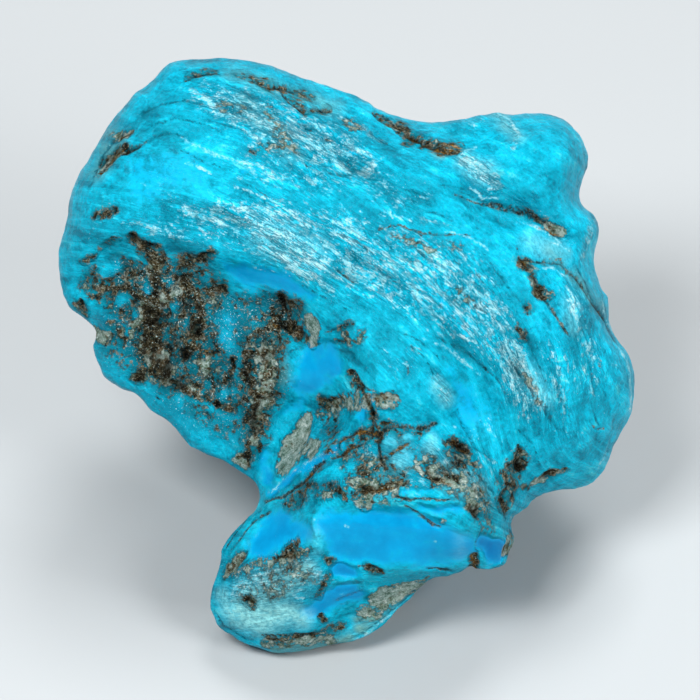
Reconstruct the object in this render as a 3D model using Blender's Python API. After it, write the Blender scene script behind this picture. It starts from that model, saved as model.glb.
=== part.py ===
"""Raw turquoise nugget: one solid stone, about 29 mm wide, resting on its foot and its heel.

The stone is drawn on its face, the side that leans back from the viewer.  Every place on the face is
given by three lengths in millimetres: u to the right, v up the face and w out of the face.  A closed
rim runs round the face.  A front skin swells out of the rim and a back skin swells behind it, and the
back skin is worn flat where the stone stands on the ground.
"""
import bmesh
import bpy
import numpy as np

MM = 0.001

# ---- driving dimensions, in millimetres and degrees ----
LEAN = 42.0              # how far the face leans back from upright
FACE_HEIGHT = 11.4       # height above the ground of the place u = v = w = 0
FRONT_EDGE_RADIUS = 4.2  # rounding from the rim onto the front skin
BACK_EDGE_RADIUS = 6.5   # rounding from the rim onto the back skin
ARCH_HEIGHT = 1.2        # clearance under the stone between its foot and its heel
WORN_EDGE = 0.3          # rounding where the worn flats meet the back skin
FACET = 0.77             # length of the finished stone's facets
PIVOT = (-35.5, -3.5)    # place beside the face from which the ribs fan out across it
RIBS = 180               # ribs from the top of the rim to the bottom
FRONT_CELLS = 130        # cells along a rib on the front skin
BACK_CELLS = 70          # and on the back skin
RIB_GATHER = 0.95        # how far the ribs are drawn towards the top and the bottom, 0 to 1
CELL_GATHER = 0.75       # how far the cells are drawn towards the ends of a rib, 0 to 1
RIM_EASE = 0.02          # how far a sheet may pass beside the spots that it is bent through
SECTION_EASE = 0.05
LAYER_EASE = 0.5
LEAST_ROUNDING = 0.35    # share of the rounding from which a section's lift is still worked out
FRONT_SETTLE = 1.2       # the relief of each skin comes in over this length from the rim
BACK_SETTLE = 2.0

# ---- rim: u, v and w of the places where it turns, clockwise from the top left ----
TOP_EDGE = [
    (-9.1, 14.5, -1.2), (-7.5, 14.7, -1.5), (-6.25, 14.75, -1.7), (-3.75, 14.25, -1.75),
    (-2.5, 13.75, -1.75), (1.0, 12.55, -1.7), (1.4, 12.2, -1.7), (3.5, 11.6, -1.6),
    (5.75, 11.65, -1.6)]
KNOB_EDGE = [
    (6.5, 11.85, -1.8), (10.1, 11.95, -2.0), (11.0, 11.55, -1.9), (11.65, 10.85, -1.8),
    (12.0, 10.0, -1.7), (12.0, 9.1, -1.6), (11.6, 7.9, -1.5)]
LUMPY_EDGE = [
    (11.75, 7.35, -1.5), (12.3, 6.9, -1.4), (12.6, 6.3, -1.3), (12.6, 5.7, -1.2),
    (12.4, 5.1, -1.2), (12.35, 4.4, -1.1), (12.7, 3.1, -1.0), (13.0, 2.65, -1.0),
    (13.15, 1.2, -1.0)]
RIGHT_LOBE_EDGE = [
    (13.6, 0.45, -1.0), (14.1, -0.2, -1.0), (14.35, -2.4, -1.0), (13.4, -4.65, -0.9),
    (12.65, -6.3, -0.8), (12.0, -6.85, -0.7), (11.25, -7.1, -0.5), (9.75, -7.3, -0.1),
    (8.65, -8.15, 0.8)]
FOOT_END_EDGE = [
    (8.15, -8.6, 1.4), (8.3, -9.35, 1.8), (8.05, -10.15, 2.3), (7.75, -10.85, 2.8),
    (6.65, -11.05, 3.2), (6.0, -10.9, 3.4), (5.6, -11.15, 3.3), (5.0, -11.35, 3.2),
    (4.25, -11.45, 3.0)]
SOLE_EDGE = [
    (3.1, -12.5, 2.0), (2.4, -13.1, 1.6), (1.65, -13.85, 1.1), (0.1, -14.75, 0.6),
    (-0.75, -14.8, 0.5), (-3.35, -15.3, 0.4), (-4.75, -15.0, 0.4), (-6.2, -14.3, 0.5)]
FOOT_SIDE_EDGE = [
    (-6.75, -13.75, 0.6), (-7.05, -13.0, 0.8), (-7.05, -12.25, 1.0), (-6.55, -10.5, 1.2),
    (-6.45, -9.75, 1.2), (-5.4, -8.4, 1.1), (-4.8, -7.8, 0.9)]
HOLLOW_EDGE = [
    (-4.65, -7.0, 0.6), (-5.6, -6.1, 0.5), (-8.0, -4.85, 0.5), (-9.1, -3.7, 0.5),
    (-10.0, -3.1, 0.5), (-10.75, -2.35, 0.4), (-11.6, -2.0, 0.4), (-12.25, -1.5, 0.3),
    (-12.6, -0.8, 0.3), (-12.9, -0.25, 0.2), (-12.95, 0.25, 0.2), (-12.8, 0.6, 0.2),
    (-12.85, 1.0, 0.1), (-13.4, 1.6, 0.1), (-14.1, 2.1, 0.1)]
CHEEK_EDGE = [
    (-14.65, 3.5, 0.0), (-14.55, 5.4, -0.1), (-14.3, 6.25, -0.1), (-14.2, 7.25, -0.2),
    (-14.0, 8.1, -0.3), (-11.0, 12.85, -0.8), (-10.25, 13.3, -0.9)]
RIM = (TOP_EDGE + KNOB_EDGE + LUMPY_EDGE + RIGHT_LOBE_EDGE + FOOT_END_EDGE
       + SOLE_EDGE + FOOT_SIDE_EDGE + HOLLOW_EDGE + CHEEK_EDGE)
RIM_STEPS = 4            # straight steps between two of those places

# ---- sections down the face: u, then (v, w) from the top down ----
FACE_SECTIONS = {
    -13.0: [(8.5, 2.2), (7.0, 3.0), (5.75, 3.1)],
    -10.5: [(12.0, 1.7), (10.75, 3.1), (9.5, 4.0), (8.0, 4.6), (6.5, 4.9), (5.5, 4.6),
            (3.0, 4.0), (0.0, 3.0)],
    -5.5: [(-10.5, 2.6), (-12.5, 2.8)],
    -5.0: [(13.5, 1.2), (12.5, 2.75), (11.0, 4.25), (9.5, 5.2), (8.0, 5.8), (6.5, 6.2),
           (5.0, 6.3), (4.1, 6.0), (2.0, 5.4), (-1.0, 4.6), (-4.0, 3.4)],
    -3.0: [(-7.5, 4.4), (-9.5, 4.9), (-11.5, 4.75), (-13.5, 3.1)],
    -0.5: [(12.0, 0.75), (10.5, 2.75), (9.0, 4.2), (7.0, 5.5), (5.0, 6.3), (3.0, 6.85),
           (1.25, 6.9), (-1.5, 6.6), (-4.5, 6.4), (-6.0, 6.75), (-7.25, 7.2), (-8.5, 6.6),
           (-10.5, 5.0), (-12.0, 3.75), (-13.5, 2.25)],
    2.5: [(10.75, 1.25), (9.5, 3.1), (7.5, 4.9), (5.0, 6.1), (2.5, 6.9), (0.0, 7.25),
          (-2.5, 7.3), (-4.0, 7.1), (-5.5, 7.3), (-7.25, 7.9), (-9.5, 6.5), (-10.75, 5.3),
          (-12.0, 3.0)],
    5.5: [(10.5, 1.4), (9.0, 3.3), (7.75, 4.3), (6.0, 4.9), (4.0, 5.8), (2.0, 6.6),
          (0.0, 7.0), (-2.0, 6.2), (-3.5, 5.9), (-4.5, 6.4), (-6.5, 7.1), (-8.0, 7.5),
          (-9.75, 6.0)],
    7.0: [(-7.0, 6.2), (-8.5, 5.9), (-10.0, 4.9)],
    8.5: [(11.0, 1.0), (9.5, 2.5), (8.0, 3.3), (6.6, 3.5), (5.5, 4.2), (3.0, 5.2),
          (0.5, 5.9), (-2.0, 5.6), (-4.0, 4.9), (-6.0, 4.0), (-7.5, 3.2)],
    10.5: [(9.75, 2.6), (7.5, 2.6), (5.75, 3.1), (3.5, 4.1), (0.5, 4.9), (-2.5, 4.8),
           (-5.0, 3.6), (-6.5, 1.6)],
    12.5: [(2.5, 2.2), (0.0, 3.1), (-2.5, 3.1), (-4.5, 2.1)]}

# ---- sections down the floor of the hollow, drawn the same way ----
HOLLOW_SECTIONS = {
    -13.0: [(3.5, 2.0), (2.0, 1.2), (0.0, 0.9)],
    -10.5: [(4.5, 2.9), (3.0, 2.6), (1.0, 2.1), (-1.0, 1.7)],
    -7.5: [(4.0, 3.1), (1.5, 2.5), (-1.5, 2.2), (-4.0, 1.7)],
    -5.0: [(2.5, 3.4), (0.0, 2.6), (-2.5, 2.2), (-5.0, 1.6)],
    -2.5: [(2.0, 4.2), (0.0, 3.8), (-2.0, 3.1), (-4.0, 2.2), (-5.5, 1.9)],
    -0.5: [(0.0, 5.0), (-1.5, 4.6), (-3.0, 3.9), (-4.0, 3.3)]}

# ---- sections down the back skin, with w behind the face below zero ----
BACK_SECTIONS = {
    -13.0: [(7.5, -3.5), (4.5, -4.0), (1.5, -3.0)],
    -10.0: [(11.0, -4.0), (7.5, -6.0), (3.5, -6.5), (0.0, -5.5)],
    -6.0: [(12.5, -4.2), (9.0, -7.0), (5.0, -8.7), (1.0, -9.2), (-2.5, -7.5), (-4.7, -4.5)],
    -2.5: [(11.5, -5.4), (7.5, -8.8), (3.5, -10.8), (-0.5, -12.6), (-3.5, -13.0), (-6.0, -10.5),
           (-8.5, -7.2), (-11.0, -5.6), (-13.5, -3.1)],
    1.5: [(10.5, -4.8), (6.5, -9.2), (2.5, -12.0), (0.0, -13.8), (-2.5, -14.8), (-5.0, -12.8),
          (-7.5, -9.5), (-10.0, -6.0), (-12.5, -3.5)],
    5.5: [(10.0, -5.0), (6.5, -8.2), (2.5, -11.0), (-0.5, -12.8), (-3.5, -12.3), (-6.5, -8.5),
          (-9.0, -4.0)],
    9.0: [(10.5, -4.2), (7.5, -5.5), (3.5, -8.0), (0.0, -9.5), (-3.5, -8.2), (-6.0, -4.5)],
    12.0: [(3.5, -4.0), (0.0, -5.5), (-3.5, -4.5)]}

# ---- border of the hollow: u, v and how far the step down from it is spread ----
HOLLOW_BORDER = [
    (-15.5, 5.2, 2.6), (-14.0, 5.4, 2.4), (-12.0, 5.7, 2.2), (-10.0, 5.5, 2.2),
    (-8.0, 5.0, 2.4), (-6.5, 4.6, 2.6), (-4.0, 4.3, 3.0), (-2.4, 3.7, 3.2),
    (-0.8, 2.5, 3.2), (0.2, 0.9, 3.4), (0.9, -1.1, 3.2), (0.8, -3.0, 2.2),
    (0.0, -4.0, 1.8), (-1.0, -4.6, 1.6), (-2.0, -5.5, 1.5), (-3.25, -6.5, 1.5),
    (-4.4, -7.45, 1.4), (-4.75, -7.5, 1.4), (-6.0, -7.5, 1.4)]

BORDER_LIP = 0.15        # share of that step that lies outside the border

# ---- ledges: the side to the left of the line stands proud by the drop ----
LEDGES = {
    "brow": ([(-12.2, 10.0), (-10.0, 10.6), (-7.25, 11.0), (-4.5, 9.9), (-1.0, 8.0)], 0.35, 0.55, 1.8),
    "plateau step": ([(-6.0, 8.2), (-2.5, 6.4), (1.5, 4.2), (5.0, 1.2), (7.2, -1.5)], 0.35, 0.55, 1.8),
    "upper step": ([(-5.0, 13.0), (-1.5, 11.0), (2.5, 8.4), (6.0, 6.3)], 0.30, 0.55, 1.7),
    "foot end": ([(6.4, -7.8), (6.35, -9.2), (6.5, -10.9)], -0.50, 0.50, 1.8),
    "undercut": ([(-1.5, -13.2), (0.8, -12.2), (2.5, -11.6), (4.4, -11.4)], 0.90, 0.55, 1.7),
    "shoulder": ([(4.2, 0.6), (5.6, -1.0), (5.5, -3.0), (5.2, -4.2)], -0.40, 0.55, 1.8)}

# ---- grooves (negative) and ridges (positive): line, height and half width ----
GROOVES = {
    "knob crease": ([(4.5, 8.1), (6.5, 7.35), (9.0, 6.6), (10.6, 5.75), (11.4, 4.4)], -0.35, 0.65),
    "saddle seam": ([(1.4, 12.1), (2.25, 11.4), (3.25, 10.65), (4.5, 10.0)], -0.35, 0.60),
    "lobe crack": ([(9.8, 4.4), (9.9, 2.6), (10.6, 1.2)], -0.35, 0.55),
    "lobe groove": ([(9.0, 0.6), (9.7, -2.6), (10.6, -5.2)], -0.28, 0.55),
    "outer groove": ([(11.4, 1.2), (12.2, -1.5), (12.4, -4.2)], -0.25, 0.55),
    "fold": ([(-0.1, -4.3), (-1.0, -4.8), (-2.1, -5.7), (-3.3, -6.7), (-4.6, -7.5)], -0.40, 0.55),
    "neck band": ([(-1.6, -4.9), (-0.2, -4.3), (2.5, -3.75), (4.4, -3.7)], -0.35, 0.55),
    "lower neck band": ([(-2.2, -6.4), (0.0, -5.2), (2.4, -5.0), (4.6, -5.4)], -0.25, 0.55),
    "foot shelf": ([(-3.8, -7.7), (-1.8, -7.4), (0.8, -7.9), (3.5, -8.3), (6.2, -8.3)], -0.35, 0.55),
    "front ridge": ([(-1.6, -7.6), (-1.7, -9.0), (-1.9, -10.4)], 0.30, 0.70),
    "end ridge": ([(5.5, -8.6), (5.5, -9.8), (5.3, -11.0)], 0.25, 0.60)}
TAPER = 1.2              # a groove or ledge fades over this length at its ends

# ---- domes: u, v, height and radius ----
DOMES = {
    "knob": (9.8, 9.5, 0.7, 2.3),
    "forehead": (-9.3, 7.8, 0.35, 3.2),
    "oval": (-1.6, -1.1, 0.7, 1.4),
    "lump by the knob": (12.0, 6.0, 0.5, 1.1),
    "lump below it": (12.2, 2.6, 0.5, 1.2),
    "front scallop": (1.8, -9.2, -0.35, 2.4),
    "side scallop": (-3.4, -9.0, -0.30, 1.6)}

# ---- the same on the back skin, where a positive height stands out behind ----
BACK_LEDGES = {
    "back ledge": ([(-11.0, 9.5), (-6.0, 7.0), (0.0, 8.2), (6.0, 6.2), (10.5, 7.0)], 0.9, 0.7, 2.8),
    "heel ledge": ([(-8.0, -1.5), (-3.0, 0.8), (2.0, 1.8), (7.5, 0.2), (11.5, -2.0)], -0.8, 0.7, 2.6)}
BACK_DOMES = {
    "back dent": (4.5, 4.6, -0.9, 2.6),
    "back lump": (-5.5, 3.6, 0.7, 2.8),
    "lobe lump": (9.5, -1.5, 0.5, 2.2)}

# ---- rough relief: cell size, height on the face, height in the hollow ----
RELIEF = [(3.2, 0.18, 0.20), (1.6, 0.10, 0.36)]
BACK_RELIEF = [(7.0, 0.60), (3.2, 0.34), (1.6, 0.14)]
SWELL_SPACING = 2.1      # from crest to crest of the swells that follow the layers
SWELL_HEIGHT = 0.10
SWELL_END = (-5.0, -2.5)  # the swells fade out between these heights down the face

# ---- layers of the stone: places along each curve lie on the same layer ----
LAYERS = {
    3.5: [(-2.0, 13.5), (2.5, 10.8), (7.0, 8.0), (10.8, 4.5), (13.0, -0.5)],
    0.0: [(-10.0, 12.3), (-5.0, 11.0), (-1.0, 8.6), (3.5, 5.6), (7.2, 2.2), (9.6, -2.0), (10.4, -5.5)],
    -3.2: [(-11.6, 9.2), (-6.5, 7.8), (-2.0, 5.4), (2.6, 2.4), (5.8, -0.8), (7.6, -4.6)],
    -7.0: [(-13.5, 5.5), (-8.5, 4.6), (-3.5, 2.4), (0.5, -0.8), (2.8, -3.0), (5.5, -5.2), (7.2, -7.8)],
    -11.5: [(-12.0, 0.0), (-7.0, -2.0), (-3.5, -6.5), (0.5, -6.6), (5.0, -8.2)],
    -15.0: [(-6.0, -11.0), (-2.0, -10.5), (3.0, -10.6), (7.0, -10.6)]}

# ---- worn flats that the stone stands on: middle and half size on the ground, X then Y ----
FOOT_FLAT = ((-3.2, -6.4), (2.9, 3.2))
HEEL_FLAT = ((1.3, 7.6), (4.3, 3.3))
FLAT_FADE = 2.6          # the underside rises to the arch over this length

TURQUOISE = (0.0, 0.36, 0.53, 1.0)
POLISH = 0.32            # roughness of the tumbled skin


def smooth_step(x):
    """Rise from 0 to 1 while x goes from 0 to 1, level at both ends."""
    x = np.clip(x, 0.0, 1.0)
    return x * x * (3.0 - 2.0 * x)


def closed_curve(points, steps):
    """Round curve through all the points, in equal steps of each span (centripetal Catmull-Rom)."""
    p0, p1, p2, p3 = (np.roll(points, shift, axis=0) for shift in (1, 0, -1, -2))
    t1, gap2, gap3 = (np.linalg.norm(b - a, axis=1)[:, None] ** 0.5
                      for a, b in ((p0, p1), (p1, p2), (p2, p3)))
    t2 = t1 + gap2
    t3 = t2 + gap3
    spans = []
    for part in np.arange(steps) / steps:
        t = t1 + gap2 * part
        a1 = (p0 * (t1 - t) + p1 * t) / t1
        a2 = (p1 * (t2 - t) + p2 * (t - t1)) / gap2
        a3 = (p2 * (t3 - t) + p3 * (t - t2)) / gap3
        b1 = (a1 * (t2 - t) + a2 * t) / t2
        b2 = (a2 * (t3 - t) + a3 * (t - t1)) / (t3 - t1)
        spans.append((b1 * (t2 - t) + b2 * (t - t1)) / gap2)
    return np.stack(spans, axis=1).reshape(-1, points.shape[1])


def thin_plate(spots, ease):
    """Return the smooth sheet w(u, v) bent through all the spots (u, v, w); ease lets it pass beside them."""
    spots = np.array(spots, dtype=float)
    count = len(spots)

    def bend(u, v):
        square = (u[:, None] - spots[:, 0]) ** 2 + (v[:, None] - spots[:, 1]) ** 2
        return 0.5 * square * np.log(square + 1e-9)

    tilt = np.column_stack((np.ones(count), spots[:, :2]))
    system = np.zeros((count + 3, count + 3))
    system[:count, :count] = bend(spots[:, 0], spots[:, 1]) + ease * np.eye(count)
    system[:count, count:] = tilt
    system[count:, :count] = tilt.T
    weights = np.linalg.solve(system, np.concatenate((spots[:, 2], np.zeros(3))))

    def sheet(u, v):
        return bend(u, v) @ weights[:count] + weights[count] + weights[count + 1] * u + weights[count + 2] * v

    return sheet


def section_spots(sections):
    """List the spots (u, v, w) of a set of sections."""
    return np.array([(u, v, w) for u, section in sections.items() for v, w in section])


def edge_distance(u, v, rim):
    """Smooth distance to the rim: exact beside it, rounded off in the middle of the face.

    It is the root of 2 / sum, where the sum runs round the rim over (step length) / (distance cubed).
    """
    start = rim[:, :2]
    step = np.roll(start, -1, axis=0) - start
    length = np.hypot(step[:, 0], step[:, 1])
    along = step / length[:, None]
    du = u[:, None] - start[:, 0]
    dv = v[:, None] - start[:, 1]
    near = du * along[:, 0] + dv * along[:, 1]
    square = np.maximum((du * along[:, 1] - dv * along[:, 0]) ** 2, 1e-8)
    far = near - length
    total = ((near / np.sqrt(square + near ** 2) - far / np.sqrt(square + far ** 2)) / square).sum(axis=1)
    return np.sqrt(2.0 / np.maximum(total, 1e-9))


def edge_rounding(distance, radius):
    """Quarter round: 0 at the rim, 1 from the radius inwards."""
    return np.sqrt(np.clip(1.0 - (1.0 - np.clip(distance / radius, 0.0, 1.0)) ** 2, 0.0, 1.0))


def beside(u, v, line):
    """Signed distance to an open line (positive on its left), its length so far and its whole length."""
    line = np.array(line, dtype=float)[:, :2]
    start, step = line[:-1], np.diff(line, axis=0)
    length = np.hypot(step[:, 0], step[:, 1])
    du = u[:, None] - start[:, 0]
    dv = v[:, None] - start[:, 1]
    part = np.clip((du * step[:, 0] + dv * step[:, 1]) / length ** 2, 0.0, 1.0)
    away = np.hypot(du - part * step[:, 0], dv - part * step[:, 1])
    nearest = np.argmin(away, axis=1)
    row = np.arange(len(u))
    side = np.sign(step[:, 0] * dv - step[:, 1] * du)[row, nearest]
    reached = np.concatenate(([0.0], np.cumsum(length)))
    return (side * away[row, nearest], reached[nearest] + part[row, nearest] * length[nearest], reached[-1])


def ends_fade(reached, whole):
    """1 along the middle of a line and 0 at both of its ends."""
    return smooth_step(reached / TAPER) * smooth_step((whole - reached) / TAPER)


def cell_noise(points, cell, seed):
    """Smooth random relief from -1 to 1: hashed values on a cubic lattice, blended within each cell."""
    place = points / cell
    corner = np.floor(place).astype(np.int64)
    part = smooth_step(place - corner)
    total = np.zeros(len(points))
    for offset in np.ndindex(2, 2, 2):
        key = corner + offset
        mixed = (key[:, 0] * 73856093) ^ (key[:, 1] * 19349663) ^ (key[:, 2] * 83492791) ^ (seed * 2654435)
        mixed = (mixed * 1103515245 + 12345) & 0x7FFFFFFF
        mixed = ((mixed >> 7) ^ mixed) * 69069 & 0x7FFFFFFF
        value = (mixed >> 8) / float(0x7FFFFFFF >> 8) * 2.0 - 1.0
        share = np.prod(np.where(offset, part, 1.0 - part), axis=1)
        total += share * value
    return total


def hollow_share(u, v):
    """1 on the floor of the hollow, 0 on the face, with a step between as wide as the border says.

    The distance to the border is the mean of the distances to all of its straight stretches, in which
    a stretch counts by the sixth power of how near it is, so that it stays smooth round the bends.
    """
    line = np.array(HOLLOW_BORDER)
    start, step = line[:-1], np.diff(line, axis=0)
    length = np.hypot(step[:, 0], step[:, 1])
    du = u[:, None] - start[:, 0]
    dv = v[:, None] - start[:, 1]
    part = np.clip((du * step[:, 0] + dv * step[:, 1]) / length ** 2, 0.0, 1.0)
    square = (du - part * step[:, 0]) ** 2 + (dv - part * step[:, 1]) ** 2
    weight = length * (square + 0.01) ** -3
    weight /= weight.sum(axis=1)[:, None]
    side = (weight * (step[:, 0] * dv - step[:, 1] * du) / length).sum(axis=1)
    spread = (weight * (start[:, 2] + part * step[:, 2])).sum(axis=1)
    return smooth_step(BORDER_LIP - side / spread)


def skin_details(u, v, ledges, grooves, domes):
    """Heights of the ledges, grooves, ridges and domes that stand on a smooth skin."""
    height = np.zeros(len(u))
    for line, drop, spread, reach in ledges.values():
        side, reached, whole = beside(u, v, line)
        lip = np.tanh(side / spread) * np.exp(-(side / reach) ** 2)
        height += 0.5 * drop * lip * ends_fade(reached, whole)
    for line, rise, half_width in grooves.values():
        side, reached, whole = beside(u, v, line)
        height += rise * np.exp(-(side / half_width) ** 2) * ends_fade(reached, whole)
    for middle_u, middle_v, rise, radius in domes.values():
        height += rise * np.exp(-((u - middle_u) ** 2 + (v - middle_v) ** 2) / radius ** 2)
    return height


class Stone:
    """The two skins of the stone, each a height w over the face."""

    def __init__(self):
        self.rim = closed_curve(np.array(RIM), RIM_STEPS)
        self.middle = thin_plate(RIM, RIM_EASE)
        self.layer = thin_plate([(u, v, layer) for layer, curve in LAYERS.items() for u, v in curve],
                                LAYER_EASE)
        self.face = self.lift_sheet(section_spots(FACE_SECTIONS), FRONT_EDGE_RADIUS)
        self.hollow = self.lift_sheet(section_spots(HOLLOW_SECTIONS), FRONT_EDGE_RADIUS)
        self.back = self.lift_sheet(section_spots(BACK_SECTIONS), BACK_EDGE_RADIUS)

    def lift_sheet(self, spots, radius):
        """Sheet of the height above the middle that gives the spots their w once the edge is rounded."""
        u, v, w = spots.T
        rounding = np.maximum(edge_rounding(edge_distance(u, v, self.rim), radius), LEAST_ROUNDING)
        lift = (w - self.middle(u, v)) / rounding
        return thin_plate(np.column_stack((u, v, lift)), SECTION_EASE)

    def front_height(self, u, v, distance):
        """w of the front skin: face and hollow, blended across the hollow's border, plus their relief."""
        hollow = hollow_share(u, v)
        lift = self.face(u, v) * (1.0 - hollow) + self.hollow(u, v) * hollow
        rounding = edge_rounding(distance, FRONT_EDGE_RADIUS)
        flat = np.column_stack((u, v, np.zeros(len(u))))
        swell = np.cos(2.0 * np.pi * self.layer(u, v) / SWELL_SPACING)
        swell *= smooth_step((v - SWELL_END[0]) / (SWELL_END[1] - SWELL_END[0]))
        relief = SWELL_HEIGHT * swell * (1.0 - hollow) + skin_details(u, v, LEDGES, GROOVES, DOMES)
        for seed, (cell, face_rise, hollow_rise) in enumerate(RELIEF):
            rise = face_rise * (1.0 - hollow) + hollow_rise * hollow
            relief += rise * cell_noise(flat, cell, seed)
        settled = smooth_step(distance / FRONT_SETTLE)
        return self.middle(u, v) + (lift * rounding) + relief * settled

    def back_height(self, u, v, distance):
        """w of the back skin: a rounded swell with broad lumps."""
        rounding = edge_rounding(distance, BACK_EDGE_RADIUS)
        flat = np.column_stack((u, v, np.full(len(u), 9.0)))
        relief = -skin_details(u, v, BACK_LEDGES, {}, BACK_DOMES)
        for seed, (cell, rise) in enumerate(BACK_RELIEF):
            relief += rise * cell_noise(flat, cell, 20 + seed)
        settled = smooth_step(distance / BACK_SETTLE)
        return self.middle(u, v) + self.back(u, v) * rounding + relief * settled


def flat_distance(x, y, flat):
    """About how far a place on the ground lies outside an oval flat, in millimetres; below 0 inside."""
    (middle_x, middle_y), (half_x, half_y) = flat
    ring = np.hypot((x - middle_x) / half_x, (y - middle_y) / half_y)
    return (ring - 1.0) * min(half_x, half_y)


def wear_underside(points):
    """Lift what lies below the ground onto the two worn flats and the shallow arch between them."""
    x, y, z = points.T
    outside = np.minimum(flat_distance(x, y, FOOT_FLAT), flat_distance(x, y, HEEL_FLAT))
    under = ARCH_HEIGHT * smooth_step(outside / FLAT_FADE)
    near = np.maximum(WORN_EDGE - np.abs(z - under), 0.0)
    raised = np.maximum(z, under) + near ** 2 / (4.0 * WORN_EDGE)
    return np.column_stack((x, y, raised))


def stand_up(u, v, w):
    """Turn places on the leaning face into x, y, z above the ground."""
    lean = np.radians(LEAN)
    y = v * np.sin(lean) - w * np.cos(lean)
    z = v * np.cos(lean) + w * np.sin(lean) + FACE_HEIGHT
    return np.column_stack((u, y, z))


def gathered(x, amount):
    """Even steps from 0 to 1, drawn towards both ends as the shadow of a turning arm is."""
    return (1.0 - amount) * x + amount * 0.5 * (1.0 - np.cos(np.pi * x))


def rim_chains(rim):
    """Turn of the ribs, top to bottom, and how far from the pivot each rib meets the rim on its two sides."""
    away = rim[:, :2] - PIVOT
    turn = -np.arctan2(away[:, 1], away[:, 0])
    reach = np.hypot(away[:, 0], away[:, 1])
    top, bottom = np.argmin(turn), np.argmax(turn)
    order = np.roll(np.arange(len(rim)), -top)
    split = (bottom - top) % len(rim)
    right = order[:split + 1]
    left = np.concatenate((order[split:], order[:1]))[::-1]
    chains = [(np.maximum.accumulate(turn[side]), reach[side]) for side in (left, right)]
    return turn[top], turn[bottom], chains


def shape_stone(station, around):
    """Place each grid point on the stone's skin: station 0 to 1 down the ribs, around 0 to 1 round a rib.

    A rib runs over the front skin from the left rim to the right one, then back over the back skin.
    """
    stone = Stone()
    top, bottom, (left, right) = rim_chains(stone.rim)
    turn = top + (bottom - top) * gathered(station, RIB_GATHER)
    near, far = np.interp(turn, *left), np.interp(turn, *right)
    front_part = FRONT_CELLS / (FRONT_CELLS + BACK_CELLS)
    on_front = around <= front_part + 1e-6
    across = np.where(on_front, gathered(around / front_part, CELL_GATHER),
                      1.0 - gathered((around - front_part) / (1.0 - front_part), CELL_GATHER))
    reach = near + (far - near) * across
    u = PIVOT[0] + reach * np.cos(turn)
    v = PIVOT[1] - reach * np.sin(turn)
    distance = np.minimum(edge_distance(u, v, stone.rim), np.minimum(reach - near, far - reach))
    distance = np.maximum(distance, 0.0)
    front = stone.front_height(u, v, distance)
    back = stone.back_height(u, v, distance)
    return stand_up(u, v, np.where(on_front, front, back))


def press_ball():
    """Press a ball into the stone's shape: its rings become the ribs."""
    ball = bmesh.new()
    bmesh.ops.create_uvsphere(ball, u_segments=FRONT_CELLS + BACK_CELLS, v_segments=RIBS, radius=1.0)
    place = np.array([vertex.co for vertex in ball.verts])
    station = np.arccos(np.clip(place[:, 2], -1.0, 1.0)) / np.pi
    around = (np.arctan2(place[:, 1], place[:, 0]) / (2.0 * np.pi) + 1e-6) % 1.0
    for vertex, spot in zip(ball.verts, shape_stone(station, around)):
        vertex.co = spot
    bmesh.ops.recalc_face_normals(ball, faces=ball.faces[:])
    data = bpy.data.meshes.new("pressed_ball")
    ball.to_mesh(data)
    ball.free()
    return data


def even_facets(data):
    """Give the shape facets of one even size, and return the new mesh."""
    pressed = bpy.data.objects.new("pressed_ball", data)
    bpy.context.scene.collection.objects.link(pressed)
    remesh = pressed.modifiers.new("even_facets", "REMESH")
    remesh.mode = "VOXEL"
    remesh.voxel_size = FACET
    faceted = bpy.data.meshes.new_from_object(pressed.evaluated_get(bpy.context.evaluated_depsgraph_get()))
    bpy.data.objects.remove(pressed, do_unlink=True)
    return faceted


def build_stone():
    """Shape the stone, wear its underside flat and bring it to metres."""
    stone = bmesh.new()
    stone.from_mesh(even_facets(press_ball()))
    worn = wear_underside(np.array([vertex.co for vertex in stone.verts]))
    for vertex, spot in zip(stone.verts, worn * MM):
        vertex.co = spot
    bmesh.ops.triangulate(stone, faces=stone.faces[:], quad_method="SHORT_EDGE")
    bmesh.ops.recalc_face_normals(stone, faces=stone.faces[:])
    data = bpy.data.meshes.new("turquoise_nugget")
    stone.to_mesh(data)
    stone.free()
    data.shade_smooth()
    return data


def turquoise_material():
    """Tumbled natural turquoise, seen as one even colour."""
    material = bpy.data.materials.new("tumbled_turquoise")
    material.use_nodes = True
    shader = material.node_tree.nodes["Principled BSDF"]
    shader.inputs["Base Color"].default_value = TURQUOISE
    shader.inputs["Roughness"].default_value = POLISH
    shader.inputs["Metallic"].default_value = 0.0
    material.diffuse_color = TURQUOISE
    return material


def main():
    for item in list(bpy.data.objects):
        bpy.data.objects.remove(item, do_unlink=True)
    nugget = bpy.data.objects.new("turquoise_nugget", build_stone())
    nugget.data.materials.append(turquoise_material())
    bpy.context.scene.collection.objects.link(nugget)


main()
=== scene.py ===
"""Raw turquoise nugget: one tumbled stone with its real surface, lying on its foot and its heel.

The stone's face leans back from the viewer.  Every place on it is given by three lengths in millimetres:
u to the right, v up the face and w out of the face.  A front skin and a back skin swell out of a closed
rim.  Streaks, matrix and colour patches are marks, placed on a map of the face that is 35 mm square,
in twentieths of a millimetre to the right and down from its top left corner.
"""
from functools import partial
from types import SimpleNamespace

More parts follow.
